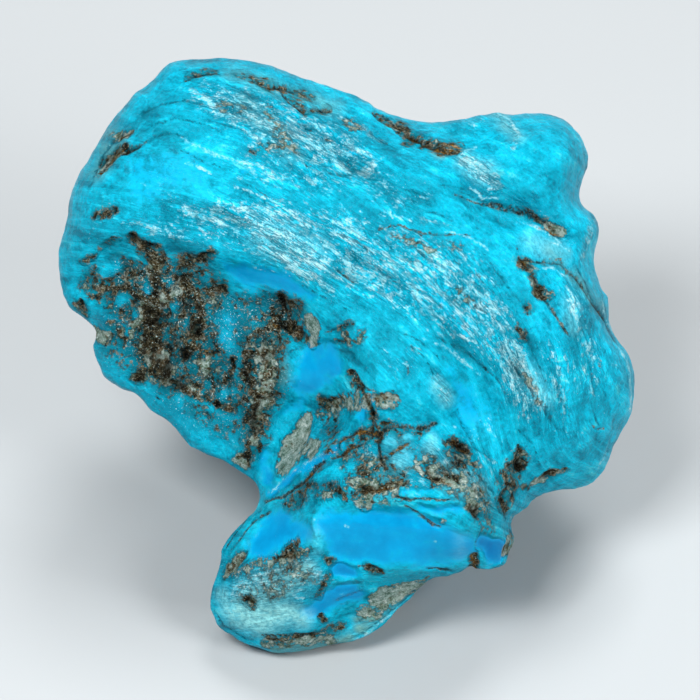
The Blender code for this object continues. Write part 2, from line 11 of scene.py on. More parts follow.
import bpy
import numpy as np
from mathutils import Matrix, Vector


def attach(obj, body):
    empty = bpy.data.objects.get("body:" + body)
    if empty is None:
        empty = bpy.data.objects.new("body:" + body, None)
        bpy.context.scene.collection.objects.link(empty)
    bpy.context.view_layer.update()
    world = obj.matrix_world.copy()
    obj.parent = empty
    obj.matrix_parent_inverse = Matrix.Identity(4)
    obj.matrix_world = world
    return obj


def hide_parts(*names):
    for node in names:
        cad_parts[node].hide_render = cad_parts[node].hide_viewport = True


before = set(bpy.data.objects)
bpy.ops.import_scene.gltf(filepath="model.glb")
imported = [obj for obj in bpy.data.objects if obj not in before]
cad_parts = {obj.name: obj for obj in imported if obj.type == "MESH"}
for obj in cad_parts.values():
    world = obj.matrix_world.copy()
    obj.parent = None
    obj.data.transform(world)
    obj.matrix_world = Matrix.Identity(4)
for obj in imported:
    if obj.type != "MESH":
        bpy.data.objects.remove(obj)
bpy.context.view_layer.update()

MM = 0.001

# ---- driving dimensions, in millimetres and degrees ----
LEAN = 42.0              # how far the face leans back from upright
FACE_HEIGHT = 11.4       # height above the ground of the place u = v = w = 0
FRONT_EDGE_RADIUS = 4.2  # rounding from the rim onto the front skin
BACK_EDGE_RADIUS = 6.5   # rounding from the rim onto the back skin
ARCH_HEIGHT = 1.2        # clearance under the stone between its foot and its heel
WORN_EDGE = 0.3          # rounding where the worn flats meet the back skin
INSET = 0.13             # the skin is drawn in this far, so that it stays within the stone's box
FACE_MIDDLE = (3.0, -3.0)   # place on the face from which the whole rim can be seen
RIM_CORNERS = [(-11.5, 12.0), (11.0, 10.5), (9.0, -8.25), (-5.25, -8.25)]  # corners of the drawn-out grid
GRID_MIDDLE = (0.63, 0.64)  # the face's middle in that grid, from its left and from its top
CELLS = 280              # cells to a side of the front skin's grid; the back has half as many
RAYS = 200               # rays along which the even spacing is worked out
RING_STEPS = 160         # and its steps along each
RING_SHARE = 0.25        # how far the steps keep the same share of the way, besides the same length
RAY_BLUR = (1, 2, 3, 4, 3, 2, 1)  # weights that blur the spacing over the rays beside each
PART_ROWS = 8192         # rows of a long table that are worked through at once
TINY = 1e-9              # keeps divisions and logarithms from zero
RIM_EASE = 0.02          # how far a sheet may pass beside the spots that it is bent through: at the rim,
SECTION_EASE = 0.05      # on a skin
LAYER_EASE = 0.5         # and among the layers
LEAST_ROUNDING = 0.35    # share of the rounding from which a section's lift is still worked out
FRONT_SETTLE = 1.2       # the relief of the front skin comes in over this length from the rim
BACK_SETTLE = 2.0        # and that of the back skin over this
MAP_STEP = 0.05          # one step of the map of the face
MAP_MIDDLE = 350         # the map's middle, where u = v = 0

# ---- rim: u, v and w of the places where it turns, clockwise from the top left ----
TOP_EDGE = [
    (-9.1, 14.5, -1.2), (-7.5, 14.7, -1.5), (-6.25, 14.75, -1.7), (-3.75, 14.25, -1.75),
    (-2.5, 13.75, -1.75), (1.0, 12.55, -1.7), (1.4, 12.2, -1.7), (3.5, 11.6, -1.6),
    (5.75, 11.65, -1.6)]
KNOB_EDGE = [
    (6.5, 11.85, -1.8), (10.1, 11.95, -2.0), (11.0, 11.55, -1.9), (11.65, 10.85, -1.8),
    (12.0, 10.0, -1.7), (12.0, 9.1, -1.6), (11.6, 7.9, -1.5)]
LUMPY_EDGE = [
    (11.75, 7.35, -1.5), (12.3, 6.9, -1.4), (12.6, 6.3, -1.3), (12.6, 5.7, -1.2),
    (12.4, 5.1, -1.2), (12.35, 4.4, -1.1), (12.7, 3.1, -1.0), (13.0, 2.65, -1.0),
    (13.15, 1.2, -1.0)]
RIGHT_LOBE_EDGE = [
    (13.6, 0.45, -1.0), (14.1, -0.2, -1.0), (14.35, -2.4, -1.0), (13.4, -4.65, -0.9),
    (12.65, -6.3, -0.8), (12.0, -6.85, -0.7), (11.25, -7.1, -0.5), (9.75, -7.3, -0.1),
    (8.65, -8.15, 0.8)]
FOOT_END_EDGE = [
    (8.15, -8.6, 1.4), (8.3, -9.35, 1.8), (8.05, -10.15, 2.3), (7.75, -10.85, 2.8),
    (6.65, -11.05, 3.2), (6.0, -10.9, 3.4), (5.6, -11.15, 3.3), (5.0, -11.35, 3.2),
    (4.25, -11.45, 3.0)]
SOLE_EDGE = [
    (3.1, -12.5, 2.0), (2.4, -13.1, 1.6), (1.65, -13.85, 1.1), (0.1, -14.75, 0.6),
    (-0.75, -14.8, 0.5), (-3.35, -15.3, 0.4), (-4.75, -15.0, 0.4), (-6.2, -14.3, 0.5)]
FOOT_SIDE_EDGE = [
    (-6.75, -13.75, 0.6), (-7.05, -13.0, 0.8), (-7.05, -12.25, 1.0), (-6.55, -10.5, 1.2),
    (-6.45, -9.75, 1.2), (-5.4, -8.4, 1.1), (-4.8, -7.8, 0.9)]
HOLLOW_EDGE = [
    (-4.65, -7.0, 0.6), (-5.6, -6.1, 0.5), (-8.0, -4.85, 0.5), (-9.1, -3.7, 0.5),
    (-10.0, -3.1, 0.5), (-10.75, -2.35, 0.4), (-11.6, -2.0, 0.4), (-12.25, -1.5, 0.3),
    (-12.6, -0.8, 0.3), (-12.9, -0.25, 0.2), (-12.95, 0.25, 0.2), (-12.8, 0.6, 0.2),
    (-12.85, 1.0, 0.1), (-13.4, 1.6, 0.1), (-14.1, 2.1, 0.1)]
CHEEK_EDGE = [
    (-14.65, 3.5, 0.0), (-14.55, 5.4, -0.1), (-14.3, 6.25, -0.1), (-14.2, 7.25, -0.2),
    (-14.0, 8.1, -0.3), (-11.0, 12.85, -0.8), (-10.25, 13.3, -0.9)]
RIM = (TOP_EDGE + KNOB_EDGE + LUMPY_EDGE + RIGHT_LOBE_EDGE + FOOT_END_EDGE
       + SOLE_EDGE + FOOT_SIDE_EDGE + HOLLOW_EDGE + CHEEK_EDGE)
RIM_STEPS = 4            # straight steps between two of those places

# ---- sections down the face: u, then (v, w) from the top down ----
FACE_SECTIONS = {
    -13.0: [(8.5, 2.2), (7.0, 3.0), (5.75, 3.1)],
    -10.5: [(12.0, 1.7), (10.75, 3.1), (9.5, 4.0), (8.0, 4.6), (6.5, 4.9), (5.5, 4.6),
            (3.0, 4.0), (0.0, 3.0)],
    -5.5: [(-10.5, 2.6), (-12.5, 2.8)],
    -5.0: [(13.5, 1.2), (12.5, 2.75), (11.0, 4.25), (9.5, 5.2), (8.0, 5.8), (6.5, 6.2),
           (5.0, 6.3), (4.1, 6.0), (2.0, 5.4), (-1.0, 4.6), (-4.0, 3.4)],
    -3.0: [(-7.5, 4.4), (-9.5, 4.9), (-11.5, 4.75), (-13.5, 3.1)],
    -0.5: [(12.0, 0.75), (10.5, 2.75), (9.0, 4.2), (7.0, 5.5), (5.0, 6.3), (3.0, 6.85),
           (1.25, 6.9), (-1.5, 6.6), (-4.5, 6.4), (-6.0, 6.75), (-7.25, 7.2), (-8.5, 6.6),
           (-10.5, 5.0), (-12.0, 3.75), (-13.5, 2.25)],
    2.5: [(10.75, 1.25), (9.5, 3.1), (7.5, 4.9), (5.0, 6.1), (2.5, 6.9), (0.0, 7.25),
          (-2.5, 7.3), (-4.0, 7.1), (-5.5, 7.3), (-7.25, 7.9), (-9.5, 6.5), (-10.75, 5.3),
          (-12.0, 3.0)],
    5.5: [(10.5, 1.4), (9.0, 3.3), (7.75, 4.3), (6.0, 4.9), (4.0, 5.8), (2.0, 6.6),
          (0.0, 7.0), (-2.0, 6.2), (-3.5, 5.9), (-4.5, 6.4), (-6.5, 7.1), (-8.0, 7.5),
          (-9.75, 6.0)],
    7.0: [(-7.0, 6.2), (-8.5, 5.9), (-10.0, 4.9)],
    8.5: [(11.0, 1.0), (9.5, 2.5), (8.0, 3.3), (6.6, 3.5), (5.5, 4.2), (3.0, 5.2),
          (0.5, 5.9), (-2.0, 5.6), (-4.0, 4.9), (-6.0, 4.0), (-7.5, 3.2)],
    10.5: [(9.75, 2.6), (7.5, 2.6), (5.75, 3.1), (3.5, 4.1), (0.5, 4.9), (-2.5, 4.8),
           (-5.0, 3.6), (-6.5, 1.6)],
    12.5: [(2.5, 2.2), (0.0, 3.1), (-2.5, 3.1), (-4.5, 2.1)]}

# ---- sections down the floor of the hollow, drawn the same way ----
HOLLOW_SECTIONS = {
    -13.0: [(3.5, 2.0), (2.0, 1.2), (0.0, 0.9)],
    -10.5: [(4.5, 2.9), (3.0, 2.6), (1.0, 2.1), (-1.0, 1.7)],
    -7.5: [(4.0, 3.1), (1.5, 2.5), (-1.5, 2.2), (-4.0, 1.7)],
    -5.0: [(2.5, 3.4), (0.0, 2.6), (-2.5, 2.2), (-5.0, 1.6)],
    -2.5: [(2.0, 4.2), (0.0, 3.8), (-2.0, 3.1), (-4.0, 2.2), (-5.5, 1.9)],
    -0.5: [(0.0, 5.0), (-1.5, 4.6), (-3.0, 3.9), (-4.0, 3.3)]}

# ---- sections down the back skin, with w behind the face below zero ----
BACK_SECTIONS = {
    -13.0: [(7.5, -3.5), (4.5, -4.0), (1.5, -3.0)],
    -10.0: [(11.0, -4.0), (7.5, -6.0), (3.5, -6.5), (0.0, -5.5)],
    -6.0: [(12.5, -4.2), (9.0, -7.0), (5.0, -8.7), (1.0, -9.2), (-2.5, -7.5), (-4.7, -4.5)],
    -2.5: [(11.5, -5.4), (7.5, -8.8), (3.5, -10.8), (-0.5, -12.6), (-3.5, -13.0), (-6.0, -10.5),
           (-8.5, -7.2), (-11.0, -5.6), (-13.5, -3.1)],
    1.5: [(10.5, -4.8), (6.5, -9.2), (2.5, -12.0), (0.0, -13.8), (-2.5, -14.8), (-5.0, -12.8),
          (-7.5, -9.5), (-10.0, -6.0), (-12.5, -3.5)],
    5.5: [(10.0, -5.0), (6.5, -8.2), (2.5, -11.0), (-0.5, -12.8), (-3.5, -12.3), (-6.5, -8.5),
          (-9.0, -4.0)],
    9.0: [(10.5, -4.2), (7.5, -5.5), (3.5, -8.0), (0.0, -9.5), (-3.5, -8.2), (-6.0, -4.5)],
    12.0: [(3.5, -4.0), (0.0, -5.5), (-3.5, -4.5)]}

# ---- border of the hollow: u, v and how far the step down from it is spread ----
HOLLOW_BORDER = [
    (-15.5, 5.2, 2.6), (-14.0, 5.4, 2.4), (-12.0, 5.7, 2.2), (-10.0, 5.5, 2.2),
    (-8.0, 5.0, 2.4), (-6.5, 4.6, 2.6), (-4.0, 4.3, 3.0), (-2.4, 3.7, 3.2),
    (-0.8, 2.5, 3.2), (0.2, 0.9, 3.4), (0.9, -1.1, 3.2), (0.8, -3.0, 2.2),
    (0.0, -4.0, 1.8), (-1.0, -4.6, 1.6), (-2.0, -5.5, 1.5), (-3.25, -6.5, 1.5),
    (-4.4, -7.45, 1.4), (-4.75, -7.5, 1.4), (-6.0, -7.5, 1.4)]

BORDER_LIP = 0.15        # share of that step that lies outside the border
BORDER_BLEND = 0.01      # how softly one stretch of the border takes over from the next, in square mm

# ---- ledges: line, drop, width and reach; the side to the left of the line stands proud by the drop ----
LEDGES = {
    "brow": ([(-12.2, 10.0), (-10.0, 10.6), (-7.25, 11.0), (-4.5, 9.9), (-1.0, 8.0)], 0.35, 0.55, 1.8),
    "plateau step": ([(-6.0, 8.2), (-2.5, 6.4), (1.5, 4.2), (5.0, 1.2), (7.2, -1.5)], 0.35, 0.55, 1.8),
    "upper step": ([(-5.0, 13.0), (-1.5, 11.0), (2.5, 8.4), (6.0, 6.3)], 0.30, 0.55, 1.7),
    "foot end": ([(6.4, -7.8), (6.35, -9.2), (6.5, -10.9)], -0.50, 0.50, 1.8),
    "undercut": ([(-1.5, -13.2), (0.8, -12.2), (2.5, -11.6), (4.4, -11.4)], 0.90, 0.55, 1.7),
    "shoulder": ([(4.2, 0.6), (5.6, -1.0), (5.5, -3.0), (5.2, -4.2)], -0.40, 0.55, 1.8)}

# ---- grooves (negative) and ridges (positive): line, height and half width ----
GROOVES = {
    "knob crease": ([(4.5, 8.1), (6.5, 7.35), (9.0, 6.6), (10.6, 5.75), (11.4, 4.4)], -0.35, 0.65),
    "saddle seam": ([(1.4, 12.1), (2.25, 11.4), (3.25, 10.65), (4.5, 10.0)], -0.35, 0.60),
    "lobe crack": ([(9.8, 4.4), (9.9, 2.6), (10.6, 1.2)], -0.35, 0.55),
    "lobe groove": ([(9.0, 0.6), (9.7, -2.6), (10.6, -5.2)], -0.28, 0.55),
    "outer groove": ([(11.4, 1.2), (12.2, -1.5), (12.4, -4.2)], -0.25, 0.55),
    "fold": ([(-0.1, -4.3), (-1.0, -4.8), (-2.1, -5.7), (-3.3, -6.7), (-4.6, -7.5)], -0.40, 0.55),
    "neck band": ([(-1.6, -4.9), (-0.2, -4.3), (2.5, -3.75), (4.4, -3.7)], -0.35, 0.55),
    "lower neck band": ([(-2.2, -6.4), (0.0, -5.2), (2.4, -5.0), (4.6, -5.4)], -0.25, 0.55),
    "foot shelf": ([(-3.8, -7.7), (-1.8, -7.4), (0.8, -7.9), (3.5, -8.3), (6.2, -8.3)], -0.35, 0.55),
    "front ridge": ([(-1.6, -7.6), (-1.7, -9.0), (-1.9, -10.4)], 0.30, 0.70),
    "end ridge": ([(5.5, -8.6), (5.5, -9.8), (5.3, -11.0)], 0.25, 0.60)}
TAPER = 1.2              # a groove or ledge fades over this length at its ends

# ---- domes: u, v, height and radius ----
DOMES = {
    "knob": (9.8, 9.5, 0.7, 2.3),
    "forehead": (-9.3, 7.8, 0.35, 3.2),
    "oval": (-1.6, -1.1, 0.7, 1.4),
    "lump by the knob": (12.0, 6.0, 0.5, 1.1),
    "lump below it": (12.2, 2.6, 0.5, 1.2),
    "front scallop": (1.8, -9.2, -0.35, 2.4),
    "side scallop": (-3.4, -9.0, -0.30, 1.6)}

# ---- ledges and domes of the back skin, where a positive height stands out behind ----
BACK_LEDGES = {
    "back ledge": ([(-11.0, 9.5), (-6.0, 7.0), (0.0, 8.2), (6.0, 6.2), (10.5, 7.0)], 0.9, 0.7, 2.8),
    "heel ledge": ([(-8.0, -1.5), (-3.0, 0.8), (2.0, 1.8), (7.5, 0.2), (11.5, -2.0)], -0.8, 0.7, 2.6)}
BACK_DOMES = {
    "back dent": (4.5, 4.6, -0.9, 2.6),
    "back lump": (-5.5, 3.6, 0.7, 2.8),
    "lobe lump": (9.5, -1.5, 0.5, 2.2)}

# ---- rough relief: cell size, height on the face and in the hollow; then cell size and height behind ----
RELIEF = [(3.2, 0.18, 0.20), (1.6, 0.10, 0.36)]
BACK_RELIEF = [(7.0, 0.60), (3.2, 0.34), (1.6, 0.14)]
BACK_LEVEL = 9.0         # level at which the lattice of random relief is cut for the back skin
SWELL_SPACING = 2.1      # from crest to crest of the swells that follow the layers
SWELL_HEIGHT = 0.10      # of those swells
SWELL_END = (-5.0, -2.5)  # the swells come in between these heights up the face

# ---- layers of the stone: the layer's number, then places along it, u and v ----
LAYERS = {
    3.5: [(-2.0, 13.5), (2.5, 10.8), (7.0, 8.0), (10.8, 4.5), (13.0, -0.5)],
    0.0: [(-10.0, 12.3), (-5.0, 11.0), (-1.0, 8.6), (3.5, 5.6), (7.2, 2.2), (9.6, -2.0), (10.4, -5.5)],
    -3.2: [(-11.6, 9.2), (-6.5, 7.8), (-2.0, 5.4), (2.6, 2.4), (5.8, -0.8), (7.6, -4.6)],
    -7.0: [(-13.5, 5.5), (-8.5, 4.6), (-3.5, 2.4), (0.5, -0.8), (2.8, -3.0), (5.5, -5.2), (7.2, -7.8)],
    -11.5: [(-12.0, 0.0), (-7.0, -2.0), (-3.5, -6.5), (0.5, -6.6), (5.0, -8.2)],
    -15.0: [(-6.0, -11.0), (-2.0, -10.5), (3.0, -10.6), (7.0, -10.6)]}

# ---- worn flats that the stone stands on: middle and half size on the ground, X then Y ----
FOOT_FLAT = ((-3.2, -6.4), (2.9, 3.2))
HEEL_FLAT = ((1.3, 7.6), (4.3, 3.3))
FLAT_FADE = 2.6          # the underside rises to the arch over this length

# ---- marks on the map of the face: (strength, softness in mm, [(right, down, half width), ...]) ----
BLUE = [
    (0.58, 1.8, [(148, 178, 30), (185, 168, 22), (205, 190, 12)]),
    (0.35, 0.9, [(165, 105, 8), (200, 112, 9), (232, 122, 6)]), (0.25, 1.2, [(160, 80, 16), (178, 90, 12)]),
    (0.85, 1.3, [(228, 270, 8), (248, 276, 15), (285, 286, 14), (308, 296, 7)]),
    (0.9, 1.2, [(318, 366, 26), (306, 386, 16)]),
    (0.9, 1.2, [(330, 522, 16), (350, 535, 29), (400, 538, 31), (440, 546, 24), (462, 546, 18)]),
    (1, 1.4, [(258, 545, 16), (282, 524, 18), (302, 530, 12)]),
    (0.75, 1.4, [(458, 385, 10), (466, 408, 15), (470, 432, 8)]),
    (0.5, 1.2, [(448, 368, 8), (480, 408, 16), (495, 445, 8)]), (0.7, 0.6, [(264, 455, 9), (266, 480, 7)]),
    (1, 0.9, [(311, 611, 9), (330, 600, 12), (348, 593, 12), (360, 597, 8)]),
    (1.3, 0.8, [(340, 590, 6), (354, 588, 5)]), (1.2, 0.8, [(340, 567, 7), (352, 571, 6)]),
    (1.3, 0.9, [(494, 550, 15), (486, 542, 9)]), (0.55, 0.7, [(388, 290, 5), (398, 283, 3)]),
    (0.55, 0.7, [(444, 300, 5), (447, 312, 4)]), (0.5, 0.6, [(306, 236, 2), (322, 242, 3), (336, 250, 3)]),
    (0.55, 0.6, [(350, 153, 5), (360, 157, 3)]), (0.6, 0.5, [(243, 172, 4), (258, 172, 3)]),
    (0.8, 0.6, [(368, 402, 8), (360, 418, 7)]), (0.5, 0.5, [(458, 243, 4), (478, 234, 4)]),
    (0.45, 0.9, [(232, 322, 12), (224, 345, 10), (240, 310, 8)]), (0.45, 0.6, [(146, 264, 4), (146, 292, 4)]),
    (0.4, 0.6, [(122, 303, 5), (92, 305, 3)]), (0.6, 0.6, [(300, 402, 8), (283, 415, 5)]),
    (0.75, 0.7, [(400, 490, 4), (420, 490, 5), (432, 488, 4)]),
    (0.85, 0.8, [(420, 508, 5), (440, 509, 6), (460, 508, 5)]),
    (0.9, 0.6, [(268, 492, 4), (285, 478, 5), (305, 464, 6), (322, 453, 6), (334, 446, 4)]),
    (0.6, 0.4, [(343, 446, 5)]), (0.4, 0.4, [(362, 452, 7)]), (0.35, 1, [(535, 320, 8), (550, 345, 8)]),
    (0.3, 1, [(590, 300, 8), (600, 350, 8)])]
# dark teal of the stone, and painted shade where the face turns down or in: along the lower rim, in the
# hollow, along the fold and in the creases
TEAL_AND_SHADE = [
    (0.55, 1, [(160, 412, 8), (190, 424, 11), (215, 438, 8)]),
    (0.5, 0.9, [(450, 190, 5), (490, 200, 6), (530, 212, 6), (558, 226, 5)]),
    (0.2, 0.8, [(570, 255, 4), (590, 290, 5), (606, 318, 4)]),
    (0.6, 0.8, [(378, 195, 8), (390, 187, 8), (420, 184, 6), (440, 186, 5)]),
    (0.4, 0.8, [(345, 205, 8), (368, 215, 8), (385, 222, 5)]),
    (0.55, 0.6, [(135, 114, 4), (160, 104, 4), (185, 99, 3), (200, 101, 2)]),
    (0.5, 0.6, [(160, 132, 3), (180, 128, 4), (208, 131, 3)]),
    (0.5, 0.9, [(84, 180, 7), (100, 150, 8), (122, 122, 7)]),
    (0.4, 0.7, [(200, 82, 4), (240, 90, 4), (300, 104, 4)]), (0.45, 0.8, [(430, 112, 6), (470, 125, 6)]),
    (0.5, 0.8, [(250, 150, 8), (270, 158, 5)]),
    (0.3, 0.7, [(512, 345, 3), (530, 375, 3), (545, 400, 3), (565, 435, 4)]),
    (0.35, 0.8, [(583, 335, 6), (596, 375, 6), (600, 420, 8)]),
    (0.55, 0.6, [(455, 345, 3), (480, 362, 4), (495, 375, 5)]), (0.5, 0.6, [(515, 255, 4), (505, 262, 3)]),
    (0.5, 0.7, [(500, 300, 3), (510, 318, 4)]), (0.5, 0.6, [(460, 196, 3), (500, 207, 3), (545, 222, 3)]),
    (0.5, 0.6, [(200, 246, 8), (214, 240, 6)]), (0.6, 0.5, [(405, 362, 5), (410, 372, 6)]),
    (0.55, 1, [(95, 350, 6), (135, 392, 6), (185, 430, 6), (225, 470, 6), (250, 490, 5)]),
    (0.95, 0.8, [(120, 275, 14), (160, 290, 26), (200, 310, 30), (245, 330, 34), (275, 315, 20)]),
    (0.9, 0.9, [(120, 320, 20), (160, 350, 26), (200, 380, 24), (250, 385, 28), (285, 375, 10)]),
    (0.7, 0.8, [(160, 395, 14), (230, 425, 20), (252, 455, 12)]),
    (0.9, 0.4, [(262, 500, 3), (290, 478, 4), (320, 455, 5), (335, 445, 4)]),
    (0.55, 1, [(310, 462, 6), (350, 455, 14), (400, 462, 20), (445, 470, 18)]),
    (0.6, 0.6, [(285, 500, 6), (275, 510, 5)]), (0.5, 0.6, [(228, 560, 7), (215, 600, 6), (232, 530, 6)]),
    (0.6, 0.5, [(345, 640, 4), (300, 630, 4), (265, 634, 4)]),
    (0.3, 0.8, [(260, 590, 20), (300, 570, 20), (320, 590, 10)]),
    (0.5, 0.5, [(440, 573, 3), (410, 574, 4), (370, 578, 6)]), (0.4, 0.5, [(332, 548, 6), (330, 540, 4)])]
CHALK = [
    (0.7, 1.6, [(205, 95, 16), (290, 130, 36), (345, 152, 24), (400, 205, 8)]),
    (0.68, 2, [(190, 215, 16), (270, 230, 36), (350, 250, 40), (440, 290, 40), (490, 340, 24)]),
    (0.52, 2, [(250, 165, 24), (330, 180, 24)]), (0.7, 1.6, [(450, 270, 20), (480, 300, 22), (505, 335, 18)]),
    (0.78, 1.4, [(508, 350, 18), (518, 385, 18), (535, 412, 12)]),
    (0.55, 1.6, [(575, 300, 16), (590, 340, 14), (590, 390, 14)]),
    (0.55, 1.6, [(548, 350, 12), (560, 390, 14), (565, 425, 12)]),
    (0.5, 1.4, [(470, 440, 12), (490, 470, 10)]),
    (0.8, 0.9, [(205, 95, 8), (240, 110, 10), (280, 125, 14), (320, 145, 16), (355, 155, 14)]),
    (0.85, 0.8, [(215, 210, 8), (250, 218, 12), (285, 240, 18), (320, 262, 14)]),
    (0.75, 0.8, [(235, 225, 10), (290, 262, 12), (330, 290, 8)]),
    (0.75, 0.8, [(340, 118, 4), (365, 128, 6), (385, 138, 4)]),
    (0.65, 0.8, [(395, 230, 6), (440, 245, 8), (480, 262, 8), (500, 285, 5)]),
    (0.8, 0.7, [(450, 285, 6), (475, 298, 9), (500, 312, 7)]), (0.6, 0.8, [(400, 200, 8), (430, 195, 6)]),
    (0.6, 0.7, [(385, 215, 6), (420, 220, 6), (450, 225, 4)]),
    (0.6, 1, [(160, 228, 10), (185, 235, 10), (130, 225, 8)]), (0.4, 1, [(155, 185, 14), (175, 205, 12)]),
    (0.35, 1.2, [(90, 240, 12), (110, 200, 10)]),
    (0.45, 1.6, [(520, 350, 12), (540, 395, 14), (560, 430, 12)]),
    (0.45, 1.6, [(565, 350, 14), (575, 390, 14), (600, 380, 10)]),
    (0.75, 0.5, [(512, 338, 4), (522, 362, 6), (530, 385, 6), (538, 400, 4)]),
    (0.7, 0.5, [(500, 360, 3), (508, 388, 5), (522, 412, 5), (530, 420, 3)]),
    (0.8, 0.5, [(568, 283, 4), (572, 300, 5), (575, 320, 4)]), (0.65, 0.6, [(555, 370, 6), (560, 395, 7)]),
    (0.6, 0.6, [(545, 345, 4), (552, 360, 4)]), (0.65, 0.5, [(448, 335, 4), (465, 343, 6), (480, 350, 5)]),
    (0.6, 0.6, [(434, 378, 7), (446, 398, 7)]), (0.5, 0.6, [(382, 350, 8), (400, 372, 8), (415, 350, 8)]),
    (0.85, 0.9, [(462, 158, 8), (480, 170, 12), (496, 188, 9)]),
    (0.65, 0.5, [(500, 114, 4), (514, 128, 5), (512, 148, 4)]), (0.35, 0.8, [(455, 125, 8), (480, 118, 8)]),
    (0.66, 0.9, [(242, 590, 16), (270, 580, 20), (300, 568, 18), (318, 578, 12)]),
    (0.5, 0.9, [(300, 595, 12), (330, 580, 8)]),
    (0.62, 0.9, [(430, 455, 12), (470, 480, 16), (488, 505, 12)]),
    (0.55, 0.8, [(360, 450, 10), (400, 466, 12), (420, 485, 10)]), (0.5, 0.6, [(484, 415, 5), (500, 440, 4)]),
    (0.4, 1.2, [(560, 410, 14), (580, 440, 12)]), (0.6, 0.5, [(592, 215, 4), (588, 240, 4), (582, 262, 3)]),
    (0.45, 1, [(610, 350, 6), (622, 385, 8)])]
MILK = [
    (0.28, 1, [(292, 575, 15), (258, 590, 14)]), (0.4, 1, [(448, 468, 13), (478, 486, 10)]),
    (0.3, 0.9, [(400, 455, 12), (380, 485, 12)]),
    (1.15, 1.2, [(236, 612, 13), (262, 618, 15), (285, 614, 11), (300, 617, 7)]),
    (0.6, 1, [(222, 595, 8), (235, 612, 8)]), (0.85, 0.9, [(250, 592, 14), (280, 580, 14), (305, 570, 10)]),
    (0.45, 0.6, [(430, 441, 6), (428, 450, 6)]), (0.25, 0.6, [(390, 441, 5), (407, 436, 4)]),
    (0.45, 0.6, [(436, 387, 8), (446, 400, 6)]), (0.5, 0.9, [(500, 117, 6), (515, 135, 5)]),
    (0.45, 1, [(465, 160, 8), (485, 172, 10)]), (0.35, 1, [(552, 250, 8), (530, 240, 8)]),
    (0.3, 0.8, [(570, 300, 6), (575, 330, 6)]), (0.35, 1, [(525, 370, 8), (545, 400, 8)]),
    (0.18, 0.9, [(317, 530, 5), (314, 552, 4)]), (0.18, 0.9, [(458, 535, 4), (461, 556, 4)]),
    (0.3, 1.2, [(270, 235, 20), (310, 255, 18)])]
NODULES = [
    (1, 0.35, [(316, 475, 6), (326, 474, 7), (338, 475, 6)]), (1, 0.35, [(390, 441, 6)]),
    (1, 0.35, [(407, 436, 5)]), (1, 0.4, [(397, 458, 6), (408, 456, 7)]), (1, 0.4, [(430, 443, 9)]),
    (1, 0.3, [(352, 488, 3)]), (1, 0.35, [(350, 462, 5)]), (0.9, 0.35, [(366, 448, 4), (374, 450, 4)]),
    (0.9, 0.45, [(412, 474, 6), (424, 482, 4)]), (0.8, 0.3, [(521, 500, 6), (516, 510, 4)]),
    (0.7, 0.3, [(455, 470, 4)]), (1, 0.4, [(105, 272, 6), (118, 268, 5)]), (1, 0.4, [(92, 305, 4)]),
    (1, 0.4, [(122, 303, 6)]), (1, 0.4, [(136, 316, 4)]), (1, 0.4, [(147, 290, 5)]),
    (0.9, 0.6, [(222, 318, 9), (226, 337, 9)]), (0.8, 0.5, [(225, 393, 8)]), (0.7, 0.5, [(180, 405, 8)]),
    (0.8, 0.4, [(176, 306, 4)]), (0.7, 0.4, [(186, 325, 4)]), (0.7, 0.4, [(168, 285, 4)]),
    (0.7, 0.4, [(205, 280, 5)]), (0.8, 0.4, [(420, 490, 6), (404, 489, 4)]), (0.8, 0.4, [(443, 509, 8)]),
    (0.7, 0.3, [(343, 446, 4)])]
